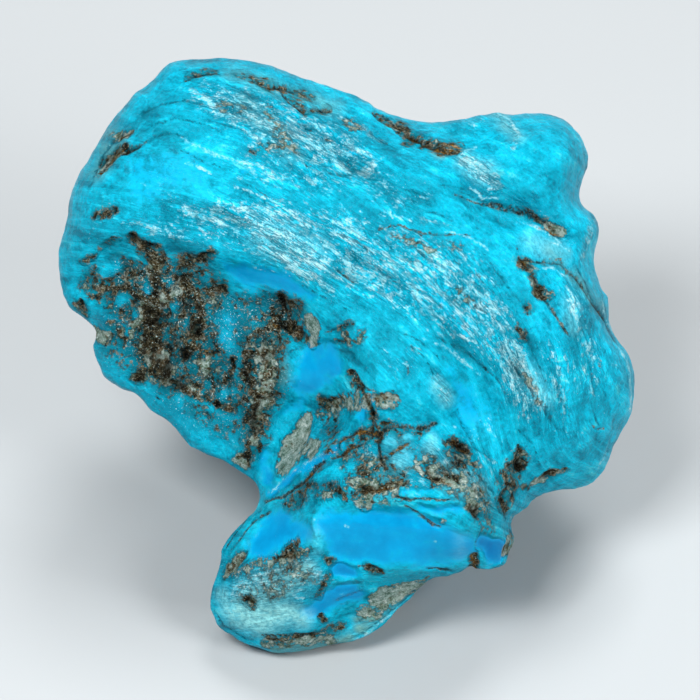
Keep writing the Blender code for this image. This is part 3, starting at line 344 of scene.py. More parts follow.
MATRIX = [
    (0.44, 1, [(95, 285, 16), (130, 290, 30), (170, 310, 40), (160, 350, 30)]),
    (0.4, 1, [(190, 280, 24), (215, 290, 14), (200, 350, 28), (175, 385, 14)]),
    (0.28, 1, [(230, 320, 24), (262, 310, 20)]),
    (0.46, 0.9, [(285, 315, 18), (262, 345, 22), (258, 390, 26), (255, 430, 16), (245, 462, 8)]),
    (0.38, 0.9, [(215, 365, 18), (220, 395, 14), (190, 385, 10), (140, 372, 8)]),
    (0.26, 0.9, [(115, 345, 18), (225, 432, 8), (285, 390, 8)]),
    (0.85, 0.8, [(140, 245, 5), (160, 262, 7), (150, 300, 10), (153, 350, 10), (168, 375, 6)]),
    (0.8, 0.8, [(185, 285, 9), (205, 310, 6), (195, 335, 10), (183, 358, 7)]),
    (0.75, 0.6, [(95, 287, 4), (125, 290, 5), (145, 300, 7)]), (0.7, 0.4, [(84, 262, 4), (94, 257, 2)]),
    (0.75, 0.4, [(133, 240, 5), (142, 244, 4)]), (0.45, 0.5, [(100, 250, 3), (118, 242, 3)]),
    (0.6, 0.5, [(155, 248, 4)]), (0.7, 0.6, [(185, 268, 7), (205, 260, 5), (214, 254, 4)]),
    (0.9, 0.6, [(212, 292, 7), (222, 290, 6)]),
    (0.85, 0.6, [(280, 298, 4), (284, 310, 4), (272, 326, 6), (290, 325, 7), (300, 337, 5)]),
    (0.7, 0.8, [(250, 345, 6), (246, 375, 8), (258, 400, 8), (253, 430, 5)]),
    (0.7, 0.6, [(232, 362, 4), (227, 408, 5), (206, 395, 5)]), (0.75, 0.5, [(78, 305, 4), (86, 314, 3)]),
    (0.6, 0.5, [(112, 325, 5), (125, 338, 5)]),
    (0.7, 0.5, [(136, 380, 6), (148, 372, 4), (186, 388, 5), (200, 397, 4)]),
    (0.6, 0.5, [(245, 460, 5), (248, 440, 4)]), (0.3, 0.8, [(330, 425, 10), (325, 450, 6)]),
    (0.33, 0.9, [(345, 452, 12), (372, 466, 18), (395, 478, 16), (360, 492, 12)]),
    (0.34, 0.9, [(447, 440, 8), (460, 455, 12), (455, 476, 12), (425, 474, 14)]),
    (0.16, 0.9, [(475, 470, 12), (484, 492, 12), (492, 512, 10)]),
    (0.4, 0.8, [(300, 490, 10), (318, 470, 6), (290, 500, 8)]),
    (0.42, 0.8, [(390, 428, 8), (360, 436, 8), (420, 432, 6)]),
    (0.48, 0.8, [(510, 480, 12), (518, 460, 8), (508, 505, 8)]),
    (0.6, 0.5, [(357, 466, 4), (370, 470, 5), (377, 464, 3)]),
    (0.75, 0.4, [(365, 491, 4), (380, 488, 6), (396, 484, 4)]),
    (0.9, 0.4, [(328, 487, 3), (335, 490, 4), (342, 496, 3)]),
    (0.75, 0.5, [(452, 438, 5), (460, 444, 5), (470, 450, 3)]), (0.7, 0.5, [(472, 505, 5), (478, 516, 3)]),
    (0.6, 0.5, [(425, 475, 5), (440, 478, 5)]), (0.65, 0.4, [(506, 484, 4), (514, 486, 4)]),
    (0.6, 0.4, [(503, 495, 4), (508, 508, 4)]), (0.75, 0.4, [(520, 450, 3), (521, 470, 4)]),
    (0.6, 0.4, [(528, 490, 3)]), (0.6, 0.5, [(350, 375, 4), (357, 388, 3), (375, 420, 5)]),
    (0.55, 0.5, [(378, 398, 5), (390, 394, 4)]), (0.5, 0.6, [(325, 405, 8), (338, 398, 6)]),
    (0.6, 0.4, [(548, 478, 4), (565, 472, 2)]), (0.85, 0.4, [(283, 551, 3), (290, 545, 4), (297, 539, 2)]),
    (0.5, 0.5, [(275, 556, 3), (300, 552, 4), (310, 547, 2)]), (0.75, 0.4, [(326, 557, 3), (333, 560, 3)]),
    (0.6, 0.4, [(331, 572, 3), (325, 583, 3), (319, 594, 3)]),
    (0.2, 0.8, [(300, 575, 14), (270, 588, 14), (290, 560, 8)]), (0.85, 0.4, [(247, 598, 4), (252, 605, 4)]),
    (0.85, 0.3, [(321, 617, 3), (325, 621, 2)]),
    (0.55, 0.5, [(268, 640, 3), (290, 638, 3), (320, 634, 4), (340, 628, 4)]),
    (0.85, 0.3, [(472, 558, 3), (474, 570, 3), (470, 574, 3)]), (0.6, 0.4, [(380, 572, 4), (366, 566, 3)]),
    (0.6, 0.4, [(507, 553, 3), (512, 545, 2)]), (0.6, 0.4, [(240, 554, 3), (225, 572, 2)]),
    (0.52, 0.6, [(400, 126, 7), (412, 136, 7)]), (0.54, 0.6, [(428, 142, 7), (440, 147, 8), (454, 146, 7)]),
    (0.55, 0.4, [(378, 112, 3), (390, 122, 3), (418, 136, 4)]),
    (0.6, 0.6, [(522, 262, 5), (530, 264, 4), (533, 274, 4)]), (0.75, 0.6, [(541, 290, 5), (547, 293, 5)]),
    (0.18, 0.7, [(500, 205, 4), (530, 216, 5), (556, 232, 5)]),
    (0.18, 0.6, [(530, 262, 4), (560, 262, 4), (585, 288, 4)]), (0.5, 0.7, [(526, 306, 6)]),
    (0.5, 0.6, [(516, 328, 4), (524, 337, 4)]), (0.34, 0.5, [(530, 216, 4), (545, 224, 4), (560, 234, 4)]),
    (0.6, 0.5, [(97, 216, 4), (108, 212, 5), (116, 209, 4)]),
    (0.45, 0.5, [(190, 76, 3), (206, 70, 4), (218, 70, 3)]),
    (0.45, 0.5, [(253, 80, 2), (272, 85, 3), (290, 91, 3)]),
    (0.42, 0.5, [(293, 97, 4), (306, 109, 3), (328, 108, 4)]), (0.35, 0.6, [(235, 72, 3), (310, 95, 5)]),
    (0.6, 0.4, [(100, 163, 3), (118, 150, 4), (140, 143, 2)]), (0.5, 0.4, [(118, 136, 4), (130, 128, 3)]),
    (0.55, 0.4, [(335, 342, 2), (348, 344, 3), (340, 330, 3), (352, 324, 3)])]
CLAY = [
    (1, 0.4, [(305, 420, 8), (298, 437, 8), (288, 456, 8), (279, 470, 4)]),
    (0.9, 0.4, [(312, 442, 5), (306, 452, 4)]), (0.85, 0.3, [(286, 443, 4)]),
    (0.9, 0.4, [(308, 320, 4), (313, 332, 4), (309, 344, 3)]), (0.85, 0.4, [(94, 334, 5), (104, 340, 5)]),
    (0.55, 0.6, [(158, 262, 6), (150, 270, 5)]), (0.5, 0.8, [(150, 350, 9), (165, 372, 8)]),
    (0.65, 0.5, [(205, 364, 5), (210, 372, 3)]), (0.52, 0.7, [(262, 350, 7), (268, 385, 7), (255, 420, 6)]),
    (0.65, 0.4, [(255, 441, 5)]), (0.4, 0.6, [(135, 378, 4), (192, 388, 5)]),
    (0.65, 0.4, [(244, 465, 5), (238, 461, 4)]), (0.42, 0.8, [(175, 290, 8), (130, 330, 6)]),
    (0.65, 0.5, [(364, 480, 4), (374, 482, 5)]), (0.6, 0.4, [(320, 494, 4), (328, 496, 3)]),
    (0.6, 0.4, [(357, 500, 4), (366, 505, 4), (368, 498, 4)]), (0.55, 0.4, [(440, 520, 3)]),
    (0.38, 0.8, [(430, 468, 10), (455, 482, 12), (480, 500, 12)]),
    (0.26, 0.8, [(480, 515, 10), (490, 525, 8)]),
    (0.36, 0.9, [(350, 480, 12), (385, 492, 12), (410, 486, 10)]),
    (0.34, 0.9, [(405, 455, 10), (425, 462, 10)]), (0.32, 0.8, [(345, 462, 6), (370, 455, 6)]),
    (0.32, 0.8, [(460, 450, 10), (475, 465, 8)]), (0.45, 0.6, [(388, 400, 8), (335, 405, 8), (320, 415, 4)]),
    (0.17, 1, [(245, 590, 14), (270, 580, 16), (300, 570, 14), (315, 580, 8)]),
    (0.6, 0.5, [(265, 645, 4), (300, 644, 4), (335, 640, 4)]),
    (1, 0.5, [(378, 599, 6), (400, 592, 6), (425, 584, 3)]), (0.55, 0.6, [(365, 615, 6), (385, 608, 5)]),
    (0.55, 0.4, [(304, 550, 5), (224, 575, 3), (238, 554, 4)]), (0.85, 0.3, [(508, 553, 4), (513, 535, 2)]),
    (0.75, 0.4, [(108, 157, 3), (118, 151, 3), (98, 172, 2)]), (0.5, 0.5, [(115, 135, 5), (130, 130, 3)]),
    (0.85, 0.3, [(548, 228, 3), (563, 235, 4)]), (0.6, 0.4, [(540, 294, 4), (533, 276, 3)]),
    (0.28, 0.6, [(222, 106, 6), (245, 108, 5)]), (0.28, 0.8, [(270, 112, 6), (290, 145, 10), (255, 150, 6)]),
    (0.45, 0.6, [(348, 122, 4), (360, 126, 4)]), (0.25, 0.7, [(395, 238, 6), (430, 250, 6), (460, 245, 6)]),
    (0.25, 0.8, [(455, 292, 6), (480, 305, 6)]), (0.28, 0.5, [(525, 375, 5), (536, 400, 4)]),
    (0.6, 0.3, [(545, 480, 4), (526, 489, 3), (556, 472, 3)]), (0.4, 0.6, [(350, 345, 5), (362, 332, 5)])]
SAGE = [
    (0.8, 0.6, [(275, 651, 5), (320, 648, 5), (350, 640, 6)]),
    (0.85, 0.6, [(402, 595, 6), (380, 612, 8), (360, 625, 8)]), (0.3, 0.8, [(300, 580, 16), (260, 590, 16)]),
    (0.35, 0.8, [(450, 475, 16), (480, 495, 14)]), (0.25, 0.7, [(515, 365, 8), (530, 390, 8)]),
    (0.45, 0.8, [(112, 140, 12), (95, 175, 8)]), (0.45, 0.8, [(300, 92, 9), (335, 108, 8), (230, 70, 6)]),
    (0.5, 0.5, [(552, 247, 8), (562, 252, 8), (566, 262, 4)]), (0.4, 0.6, [(575, 275, 6), (605, 310, 5)]),
    (0.4, 0.6, [(270, 350, 16), (280, 380, 10)]), (0.4, 0.8, [(245, 100, 10), (290, 150, 14)]),
    (0.6, 0.4, [(440, 150, 9)])]

# ---- crisp marks on the same map: (right, down, half width) along each line ----
DARK_LINES = [
    [(518, 256, 1.2), (526, 264, 2), (534, 278, 2), (545, 300, 1.8), (556, 316, 1.6), (566, 334, 1.2)],
    [(470, 200, 0.5), (500, 206, 0.6), (530, 216, 0.9), (548, 226, 0.8), (562, 238, 0.6)],
    [(518, 258, 0.8), (540, 261, 0.9), (562, 262, 0.8), (580, 282, 0.9), (596, 304, 0.9), (608, 322, 0.7)],
    [(376, 229, 0.9), (400, 225, 1.2), (420, 232, 1.5), (445, 234, 1.2), (470, 235, 0.9)],
    [(336, 442, 1.5), (345, 435, 2), (352, 431, 2), (376, 434, 2), (386, 432, 1.5)],
    [(385, 429, 1.5), (395, 425, 1.7), (410, 425, 1.7), (425, 427, 1.7), (437, 423, 1.5)],
    [(330, 457, 1.5), (340, 452, 1.8), (350, 447, 1.8), (358, 444, 1.5)],
    [(378, 444, 1.5), (381, 460, 1.8), (387, 466, 1.5)],
    [(382, 455, 1.2), (392, 450, 1.7), (400, 446, 1.7), (409, 443, 1.2)],
    [(262, 500, 1.2), (280, 495, 1.8), (290, 488, 1.5), (300, 480, 1.5), (308, 472, 1.8), (313, 464, 1.8),
     (322, 460, 1.2)], [(305, 482, 1.2), (318, 484, 1.5), (330, 482, 1.5), (345, 478, 1.5), (352, 483, 1.5)],
    [(362, 492, 1.8), (376, 490, 2.1), (388, 488, 2.2), (396, 484, 1.8)], [(385, 480, 1.5), (398, 482, 1.5)],
    [(395, 495, 1.5), (410, 500, 1.7), (420, 497, 1.5), (440, 499, 1.5), (455, 497, 0.9)],
    [(404, 505, 1.2), (420, 516, 1.5), (430, 524, 1.7), (438, 526, 1.5)],
    [(447, 437, 1.8), (458, 440, 2), (468, 448, 1.5)], [(470, 502, 1.7), (474, 512, 1.7), (479, 520, 1.2)],
    [(400, 470, 1.2), (408, 478, 1.5), (402, 484, 1.2)], [(425, 462, 1.2), (430, 474, 1.5), (440, 478, 1.5)],
    [(455, 455, 1.5), (462, 458, 1.5), (458, 466, 1.2)], [(466, 470, 1.2), (474, 474, 1.5)],
    [(507, 483, 1.8), (514, 486, 1.8)], [(519, 446, 1.5), (522, 454, 1.5)],
    [(519, 463, 1.5), (523, 474, 1.7)], [(502, 500, 1.7), (506, 510, 1.7)],
    [(506, 489, 1.2), (504, 498, 1.2)], [(544, 480, 1.1), (554, 474, 1.1)],
    [(425, 569, 0.7), (436, 569, 1.1), (452, 574, 0.9)], [(358, 566, 0.9), (370, 567, 1.1), (378, 570, 0.9)],
    [(252, 502, 0.7), (240, 520, 0.9), (232, 532, 0.8), (224, 548, 0.9)],
    [(268, 510, 1.5), (252, 518, 0.9), (243, 530, 0.7), (228, 550, 0.9)],
    [(338, 602, 0.7), (348, 597, 0.9), (362, 591, 0.7)], [(262, 637, 0.9), (290, 636, 1.1), (315, 634, 1.1)],
    [(547, 302, 0.9), (560, 322, 1.1), (566, 332, 1.1), (570, 337, 0.9)],
    [(455, 195, 0.7), (480, 203, 0.9), (520, 215, 1.1), (530, 217, 1.4), (545, 224, 1.1), (556, 232, 0.9)],
    [(250, 79, 0.9), (272, 86, 1.1), (285, 88, 0.9), (303, 89, 1.1)],
    [(283, 90, 1.1), (290, 100, 1.1), (306, 111, 1.1)],
    [(378, 110, 0.9), (392, 120, 1.1), (405, 130, 1.4), (418, 138, 1.4), (432, 147, 1.4), (450, 152, 1.1)],
    [(320, 106, 1.1), (332, 109, 1.3)], [(344, 377, 0.9), (352, 372, 1.4), (356, 380, 1.4), (353, 386, 1.1)],
    [(358, 386, 1.1), (374, 391, 1.1)], [(370, 408, 1.4), (373, 420, 1.8), (371, 431, 1.7)],
    [(334, 343, 0.9), (344, 345, 1.3)], [(320, 335, 0.7), (340, 328, 1.1), (357, 321, 1.1)],
    [(590, 420, 0.7), (598, 430, 0.9), (604, 428, 1.1)], [(517, 244, 1.1), (517, 249, 1.1)],
    [(516, 329, 1.1), (526, 337, 1.3)], [(524, 303, 1.3), (527, 314, 1.3)],
    [(508, 316, 1.1), (510, 316, 1.1)], [(416, 230, 1.1), (421, 236, 1.1)],
    [(374, 231, 0.7), (385, 228, 1.1), (392, 225, 0.9)], [(338, 267, 1.1), (345, 274, 0.9), (355, 281, 0.7)],
    [(97, 177, 0.7), (106, 163, 0.9), (120, 155, 0.9), (132, 148, 1.1), (148, 139, 0.7)],
    [(133, 166, 0.9), (134, 171, 1.1)], [(188, 76, 0.7), (200, 72, 1.1), (208, 70, 1.3), (220, 71, 0.9)],
    [(249, 151, 1.1), (254, 154, 1.1)], [(268, 106, 0.9), (274, 107, 0.9)],
    [(307, 127, 1.1), (312, 129, 1.1)], [(308, 166, 1.1), (312, 166, 0.9)],
    [(326, 139, 0.9), (334, 140, 0.9)], [(482, 368, 1.1), (486, 373, 1.1)],
    [(408, 368, 1.1), (408, 374, 0.9)], [(125, 358, 1.1), (132, 356, 0.9)],
    [(155, 399, 1.1), (159, 402, 1.1)], [(84, 262, 1.5), (93, 259, 1.4)],
    [(131, 239, 1.6), (142, 244, 1.6), (152, 250, 1.3)], [(79, 300, 1.4), (82, 308, 1.6), (86, 312, 1.4)],
    [(105, 280, 1.3), (118, 276, 1.4)], [(122, 287, 1.1), (138, 290, 1.4), (150, 298, 1.5), (160, 296, 1.5)],
    [(215, 290, 1.7), (224, 292, 1.6)], [(202, 259, 1.3), (213, 256, 1.5)],
    [(178, 272, 1.4), (192, 269, 1.4)], [(190, 330, 1.6), (200, 322, 1.5)],
    [(195, 300, 1.4), (203, 312, 1.5)], [(276, 300, 1.3), (282, 308, 1.5)],
    [(272, 325, 1.5), (284, 328, 1.6)], [(242, 370, 1.5), (248, 380, 1.6), (244, 392, 1.5)],
    [(258, 398, 1.5), (266, 400, 1.5)], [(231, 360, 1.4), (232, 368, 1.4)],
    [(206, 414, 1.4), (208, 418, 1.4)], [(238, 404, 1.4), (230, 410, 1.3)],
    [(148, 320, 1.5), (152, 335, 1.5)], [(164, 344, 1.4), (170, 350, 1.5)],
    [(180, 350, 1.5), (184, 360, 1.4)], [(144, 368, 1.3), (150, 374, 1.3)],
    [(246, 462, 1.4), (248, 468, 1.3)], [(302, 322, 1.3), (298, 334, 1.3)]]
# thin dark teal lines of the stone, some of them painted shade along the edges of folds and creases
TEAL_LINES_AND_SHADE = [
    [(350, 238, 0.8), (365, 250, 1), (382, 263, 0.8)], [(398, 236, 0.7), (420, 254, 1), (436, 268, 0.8)],
    [(340, 236, 0.9), (356, 242, 1.1), (370, 252, 0.8)], [(325, 226, 0.6), (345, 240, 0.8)],
    [(182, 148, 0.6), (205, 162, 0.9), (235, 172, 0.6)], [(330, 172, 0.8), (345, 174, 1.1), (354, 172, 0.6)],
    [(240, 182, 0.6), (265, 196, 0.8), (295, 210, 0.6)], [(205, 118, 0.6), (225, 124, 0.9), (246, 132, 0.6)],
    [(215, 78, 0.6), (245, 90, 0.9), (262, 98, 0.6)], [(235, 95, 0.6), (252, 106, 0.9), (262, 115, 0.8)],
    [(300, 120, 0.6), (330, 138, 0.8), (352, 150, 0.7)], [(262, 128, 0.6), (285, 145, 0.8), (300, 155, 0.6)],
    [(345, 115, 0.6), (370, 130, 0.8), (395, 145, 0.6)], [(385, 195, 0.7), (405, 190, 0.9), (425, 196, 0.6)],
    [(405, 205, 0.6), (430, 212, 0.9), (452, 220, 0.6)], [(365, 262, 0.6), (390, 280, 0.9), (405, 292, 0.7)],
    [(300, 285, 0.5), (325, 300, 0.8), (350, 312, 0.6)], [(410, 285, 0.6), (440, 305, 0.9), (470, 330, 0.7)],
    [(452, 345, 0.8), (475, 362, 1.2), (495, 378, 1), (505, 395, 0.8)], [(436, 336, 0.6), (458, 350, 0.9)],
    [(500, 345, 0.8), (520, 375, 1), (540, 405, 1.2), (556, 430, 1)],
    [(528, 335, 0.8), (536, 360, 0.8), (548, 390, 0.8)],
    [(578, 268, 0.8), (590, 290, 1), (602, 312, 1.1), (620, 343, 0.7)], [(600, 380, 0.6), (612, 410, 0.8)],
    [(590, 400, 0.8), (600, 425, 1)], [(560, 395, 0.6), (572, 425, 0.8)], [(545, 405, 0.8), (552, 422, 1)],
    [(508, 298, 0.6), (520, 318, 0.8)], [(465, 300, 0.8), (485, 313, 1.1), (500, 322, 0.8)],
    [(480, 250, 0.6), (500, 275, 0.9), (518, 300, 0.7)], [(456, 262, 0.6), (478, 276, 0.9), (495, 292, 0.6)],
    [(478, 470, 0.8), (495, 490, 0.9), (502, 512, 0.9)], [(470, 478, 0.6), (486, 500, 0.8), (494, 522, 0.7)],
    [(456, 404, 0.8), (462, 425, 1.1), (475, 445, 1), (497, 462, 0.8)],
    [(500, 465, 0.8), (503, 490, 1), (506, 520, 0.8)],
    [(352, 640, 0.8), (385, 618, 0.8), (408, 598, 0.8), (430, 583, 0.6)],
    [(360, 622, 0.6), (385, 603, 0.8), (410, 588, 0.6)],
    [(138, 112, 0.8), (160, 103, 1.1), (185, 99, 1), (203, 102, 0.7)],
    [(150, 124, 0.6), (175, 118, 0.9), (205, 125, 0.8), (225, 134, 0.6)],
    [(150, 137, 0.9), (165, 132, 1.2), (185, 136, 0.8)], [(88, 190, 0.6), (98, 160, 0.9), (112, 138, 0.8)],
    [(335, 350, 0.8), (352, 356, 0.9), (350, 372, 0.8)], [(288, 352, 1), (305, 345, 1), (325, 343, 0.8)],
    [(410, 346, 0.6), (425, 360, 0.8), (432, 378, 0.7)], [(395, 330, 0.6), (420, 340, 0.8), (440, 358, 0.7)],
    [(520, 430, 0.6), (535, 450, 0.8), (540, 468, 0.6)], [(585, 345, 0.6), (592, 370, 0.9), (594, 395, 0.7)],
    [(460, 192, 0.8), (500, 206, 1), (545, 225, 0.8), (566, 245, 0.8)],
    [(212, 610, 0.6), (222, 628, 0.8), (245, 642, 0.7)], [(482, 530, 0.6), (476, 545, 0.8), (478, 560, 0.6)],
    [(440, 185, 0.8), (470, 190, 1), (500, 200, 0.8)]]
# white veins and seams of the stone, and painted highlights along the right rim
WHITE_LINES_AND_HIGHLIGHTS = [
    [(515, 220, 0.8), (535, 226, 1.2), (552, 236, 1.2), (568, 250, 0.8)],
    [(536, 270, 0.9), (552, 266, 1.2), (568, 276, 1)], [(470, 188, 0.8), (484, 198, 1.1), (500, 200, 0.7)],
    [(588, 135, 0.7), (595, 160, 1), (594, 190, 0.8)], [(600, 222, 0.8), (602, 240, 1), (598, 258, 0.7)],
    [(604, 300, 0.7), (608, 318, 1), (616, 332, 0.7)], [(630, 375, 0.8), (634, 395, 1), (630, 420, 0.8)],
    [(610, 450, 0.7), (600, 470, 0.8)], [(203, 107, 0.8), (218, 112, 1), (232, 119, 0.7)],
    [(182, 137, 1.2), (190, 142, 0.9), (205, 150, 1.4), (218, 156, 1.5), (240, 162, 1.5), (258, 167, 1.6),
     (268, 170, 1)], [(188, 163, 1), (200, 168, 1.4), (213, 176, 1)],
    [(252, 264, 0.7), (256, 270, 0.7), (264, 273, 0.6)], [(246, 112, 1.4), (262, 122, 1.4)],
    [(235, 187, 0.8), (252, 194, 1.2), (275, 205, 1), (300, 216, 0.8)], [(168, 228, 2), (172, 234, 1.6)],
    [(322, 450, 0.8), (302, 462, 0.8), (283, 477, 0.8), (268, 491, 0.7)],
    [(480, 420, 0.6), (490, 430, 0.9), (497, 440, 0.6)], [(486, 454, 0.8), (496, 462, 1.2)],
    [(446, 230, 0.7), (470, 238, 0.9), (486, 250, 0.9)], [(393, 232, 0.9), (402, 240, 1.4), (412, 246, 1)],
    [(420, 336, 0.6), (442, 344, 0.9), (462, 360, 0.9), (478, 376, 0.6)], [(456, 336, 1.6), (476, 344, 1.4)],
    [(500, 362, 0.8), (510, 385, 0.9), (528, 412, 0.8)], [(512, 340, 0.9), (524, 362, 1.2), (534, 382, 1)],
    [(616, 342, 0.8), (626, 356, 1), (632, 372, 0.8)], [(568, 290, 1.2), (572, 306, 1.6)],
    [(596, 220, 1.2), (592, 234, 1), (588, 250, 0.8)],
    [(500, 113, 1.2), (510, 118, 1.4), (518, 134, 1.2), (513, 150, 1)],
    [(457, 160, 0.8), (464, 150, 1), (478, 144, 0.8)], [(545, 246, 0.8), (552, 242, 1), (560, 244, 0.7)],
    [(544, 256, 0.8), (543, 248, 0.7)], [(346, 526, 1.2), (348, 527, 1.2)], [(434, 541, 1), (433, 540, 1)],
    [(343, 594, 1.2), (346, 595, 1)], [(368, 569, 1), (369, 566, 1)], [(312, 516, 1.2), (314, 520, 1)],
    [(418, 515, 0.9), (424, 518, 0.7)], [(452, 423, 1.2), (455, 425, 1.2)],
    [(286, 442, 1.6), (289, 446, 1.6)], [(461, 483, 0.9), (467, 483, 0.9)],
    [(338, 113, 1), (350, 120, 1.2), (362, 127, 1)], [(512, 518, 0.7), (517, 532, 0.8), (512, 548, 0.7)],
    [(398, 610, 0.7), (375, 628, 0.8), (350, 646, 0.7)]]
GOLD_GRAINS = [
    [(408, 133, 1.4), (413, 139, 1.2)], [(432, 147, 1.5), (442, 151, 1.8), (452, 149, 1.4)],
    [(446, 143, 1.2), (458, 146, 1)], [(338, 441, 1), (352, 432, 1.6), (368, 433, 1.4), (385, 433, 0.9)],
    [(300, 480, 0.8), (310, 470, 1.2), (322, 461, 0.8)], [(332, 456, 0.8), (345, 450, 1.2), (357, 444, 0.8)],
    [(384, 454, 0.8), (400, 446, 1.1), (408, 444, 0.7)], [(363, 492, 1), (380, 490, 1.4), (394, 485, 0.8)],
    [(285, 496, 0.8), (300, 487, 1)], [(450, 436, 0.9), (462, 446, 1.4), (470, 450, 0.8)],
    [(506, 482, 1), (512, 486, 1.2)], [(540, 228, 0.8), (556, 235, 1.2)], [(522, 260, 0.9), (528, 264, 1.1)],
    [(550, 258, 0.8), (562, 258, 1)], [(470, 556, 1.2), (474, 566, 1.8), (470, 574, 1.2)],
    [(380, 571, 1.2), (384, 575, 1.4)], [(600, 360, 1), (600, 366, 1.2)],
    [(105, 163, 0.8), (112, 156, 1.2), (122, 150, 0.9)], [(96, 176, 0.8), (100, 171, 1)],
    [(274, 325, 1.4), (277, 327, 1.4)], [(124, 342, 1.4), (128, 338, 1.2)],
    [(205, 350, 1.2), (208, 351, 1.2)], [(452, 436, 1), (456, 440, 1.2)], [(330, 488, 1), (336, 492, 1.2)],
    [(296, 333, 1.2), (300, 328, 1.2)], [(336, 441, 1.2), (342, 437, 1.4)],
    [(430, 150, 1.2), (446, 150, 1.2)], [(412, 134, 1.2), (416, 138, 1)], [(346, 447, 1), (352, 446, 1)],
    [(564, 333, 0.9), (565, 334, 0.9)], [(270, 86, 1), (288, 92, 1)], [(508, 316, 0.9), (509, 317, 0.9)]]


# ---- marks of the back, on the same map seen through the stone ----
BACK_BLUE = [(0.6, 2, [(200, 200, 40), (260, 180, 30)]), (0.7, 2, [(420, 330, 40), (380, 400, 20)])]
BACK_TEAL = [(0.6, 2, [(300, 250, 40), (350, 300, 30)]), (0.6, 2, [(500, 250, 40), (520, 320, 30)])]
BACK_CHALK = [
    (0.62, 2.5, [(200, 140, 40), (300, 210, 50), (400, 300, 50)]),
    (0.6, 2.5, [(240, 120, 30), (340, 160, 30)]), (0.55, 2.5, [(420, 220, 40), (500, 300, 30)])]
BACK_MILK = [(0.4, 2, [(300, 560, 30)])]
BACK_MATRIX = [
    (0.38, 1.5, [(160, 270, 30), (240, 330, 30)]), (0.34, 1.5, [(430, 220, 26), (480, 300, 20)]),
    (0.9, 0.8, [(150, 260, 14), (200, 300, 18), (260, 330, 10)]),
    (0.8, 0.8, [(380, 180, 8), (430, 230, 10), (460, 300, 8)]),
    (0.8, 0.8, [(320, 430, 12), (400, 450, 14), (450, 420, 8)])]
BACK_CLAY = [(0.7, 0.8, [(200, 330, 10), (230, 350, 12)]), (0.7, 0.8, [(400, 470, 10)])]
BACK_SAGE = [(0.6, 2, [(300, 480, 40), (360, 560, 30)]), (0.5, 2, [(420, 380, 40)])]
BACK_DARK = [
    [(110, 200, 1.5), (180, 240, 2.5), (240, 310, 3), (300, 350, 2)],
    [(360, 150, 1.5), (400, 210, 2.5), (450, 260, 3), (470, 330, 2), (440, 400, 1.5)],
    [(250, 420, 1.5), (330, 440, 3), (410, 460, 2)]]
BACK_TEAL_LINES = [
    [(200, 300, 1), (300, 260, 1.4), (380, 280, 1)], [(420, 200, 1), (480, 260, 1.4), (510, 340, 1)]]
BACK_WHITE = [[(200, 120, 1.5), (300, 150, 2.5), (360, 200, 1.5)], [(480, 280, 1.5), (520, 350, 2)]]
BACK_GOLD = [[(236, 306, 2), (246, 316, 2)]]

# ---- every kind of mark: those of the face, then those of the back ----
SOFT_MARKS = {
    "blue": (BLUE, BACK_BLUE), "teal": (TEAL_AND_SHADE, BACK_TEAL), "chalk": (CHALK, BACK_CHALK),
    "milk": (MILK, BACK_MILK), "nodule": (NODULES, []), "matrix": (MATRIX, BACK_MATRIX),
    "clay": (CLAY, BACK_CLAY), "sage": (SAGE, BACK_SAGE)}
CRISP_MARKS = {
    "dark_line": (DARK_LINES, BACK_DARK), "teal_line": (TEAL_LINES_AND_SHADE, BACK_TEAL_LINES),
    "white_line": (WHITE_LINES_AND_HIGHLIGHTS, BACK_WHITE), "gold_grain": (GOLD_GRAINS, BACK_GOLD)}
BACK_SHARE = 3.0         # the face's marks run this far round the rim before the back's own take over
FRAY = [(0.8, 3.0), (0.8 / 2.3, 1.5)]  # cell size of the shifts that fray the marks, and steps of the map
CRISP_FRAY = 0.4         # share of those shifts for the crisp marks

# ---- fine relief, in millimetres unless it says otherwise ----
ALONG = (0.77, -0.64)    # rough direction of the layers on the face, u and v
STREAK_STRETCH = 7.0     # how many times longer than wide the streaks are
STREAKS = [(0.60, 0.10), (0.28, 0.07)]  # cell size and height of the streaks,
LUMPS = [(1.7, 0.08), (0.8, 0.05), (0.4, 0.03)]  # of the small lumps
GRIT = [(0.7, 0.16), (0.35, 0.10)]  # and of the grains in the matrix
PLAIN_STREAKS = 0.30     # height of the streaks where there is no chalk, as a share
FULL_BLUE = 0.9          # strength of the blue from which the stone is at its smoothest
STREAK_CALM = 0.85       # shares by which the streaks, the lumps and the grains are lower there
LUMP_CALM = 0.75
GRIT_CALM = 0.70
MATRIX_GAIN = 1.5        # how much sooner the matrix sinks than it darkens
MATRIX_DROP = 0.10       # how far the matrix lies below the turquoise
NODULE_RISE = 0.12       # height of the nodules in the matrix
LINE_RISES = {"dark_line": -0.10, "teal_line": -0.06, "white_line": 0.03}
LINE_SOFTNESS = 0.16     # width over which a line rises or falls
RELIEF_CAP = 0.8         # most that the relief may take up of the inset, as a share

# ---- random relief: where each use of it starts, and the hash behind it ----
BACK_SEED = 20
FRAY_SEEDS = ((40, 41), (50, 51))  # to the right and down, of the coarse shifts and of the finer ones
STREAK_SEED = 60
LUMP_SEED = 70
GRIT_SEED = 80
AXIS_KEYS = (73856093, 19349663, 83492791)  # multipliers of the lattice's three numbers,
SEED_KEY = 2654435       # of the seed
MIX_KEYS = (1103515245, 12345, 69069)  # and of what they give together
LOW_BITS = 0x7FFFFFFF

# ---- finish: constant values of its shader ----
STONE_SHADER = {
    "Metallic": 0.0, "IOR": 1.61, "Specular IOR Level": 0.01, "Coat Roughness": 0.12, "Coat IOR": 1.45}
ROUGHNESS = (0.30, 0.60)  # of the best polished and the dullest places
WAX = (0.16, 0.05)       # weight of the tumbler's wax on them
BUMP_HEIGHT = 0.18       # height of the finest relief, in millimetres
STONE_MARKS = (
    "blue", "teal", "chalk", "milk", "matrix", "clay", "sage", "dark_line", "teal_line", "white_line",
    "gold_grain", "relief", "along", "across")
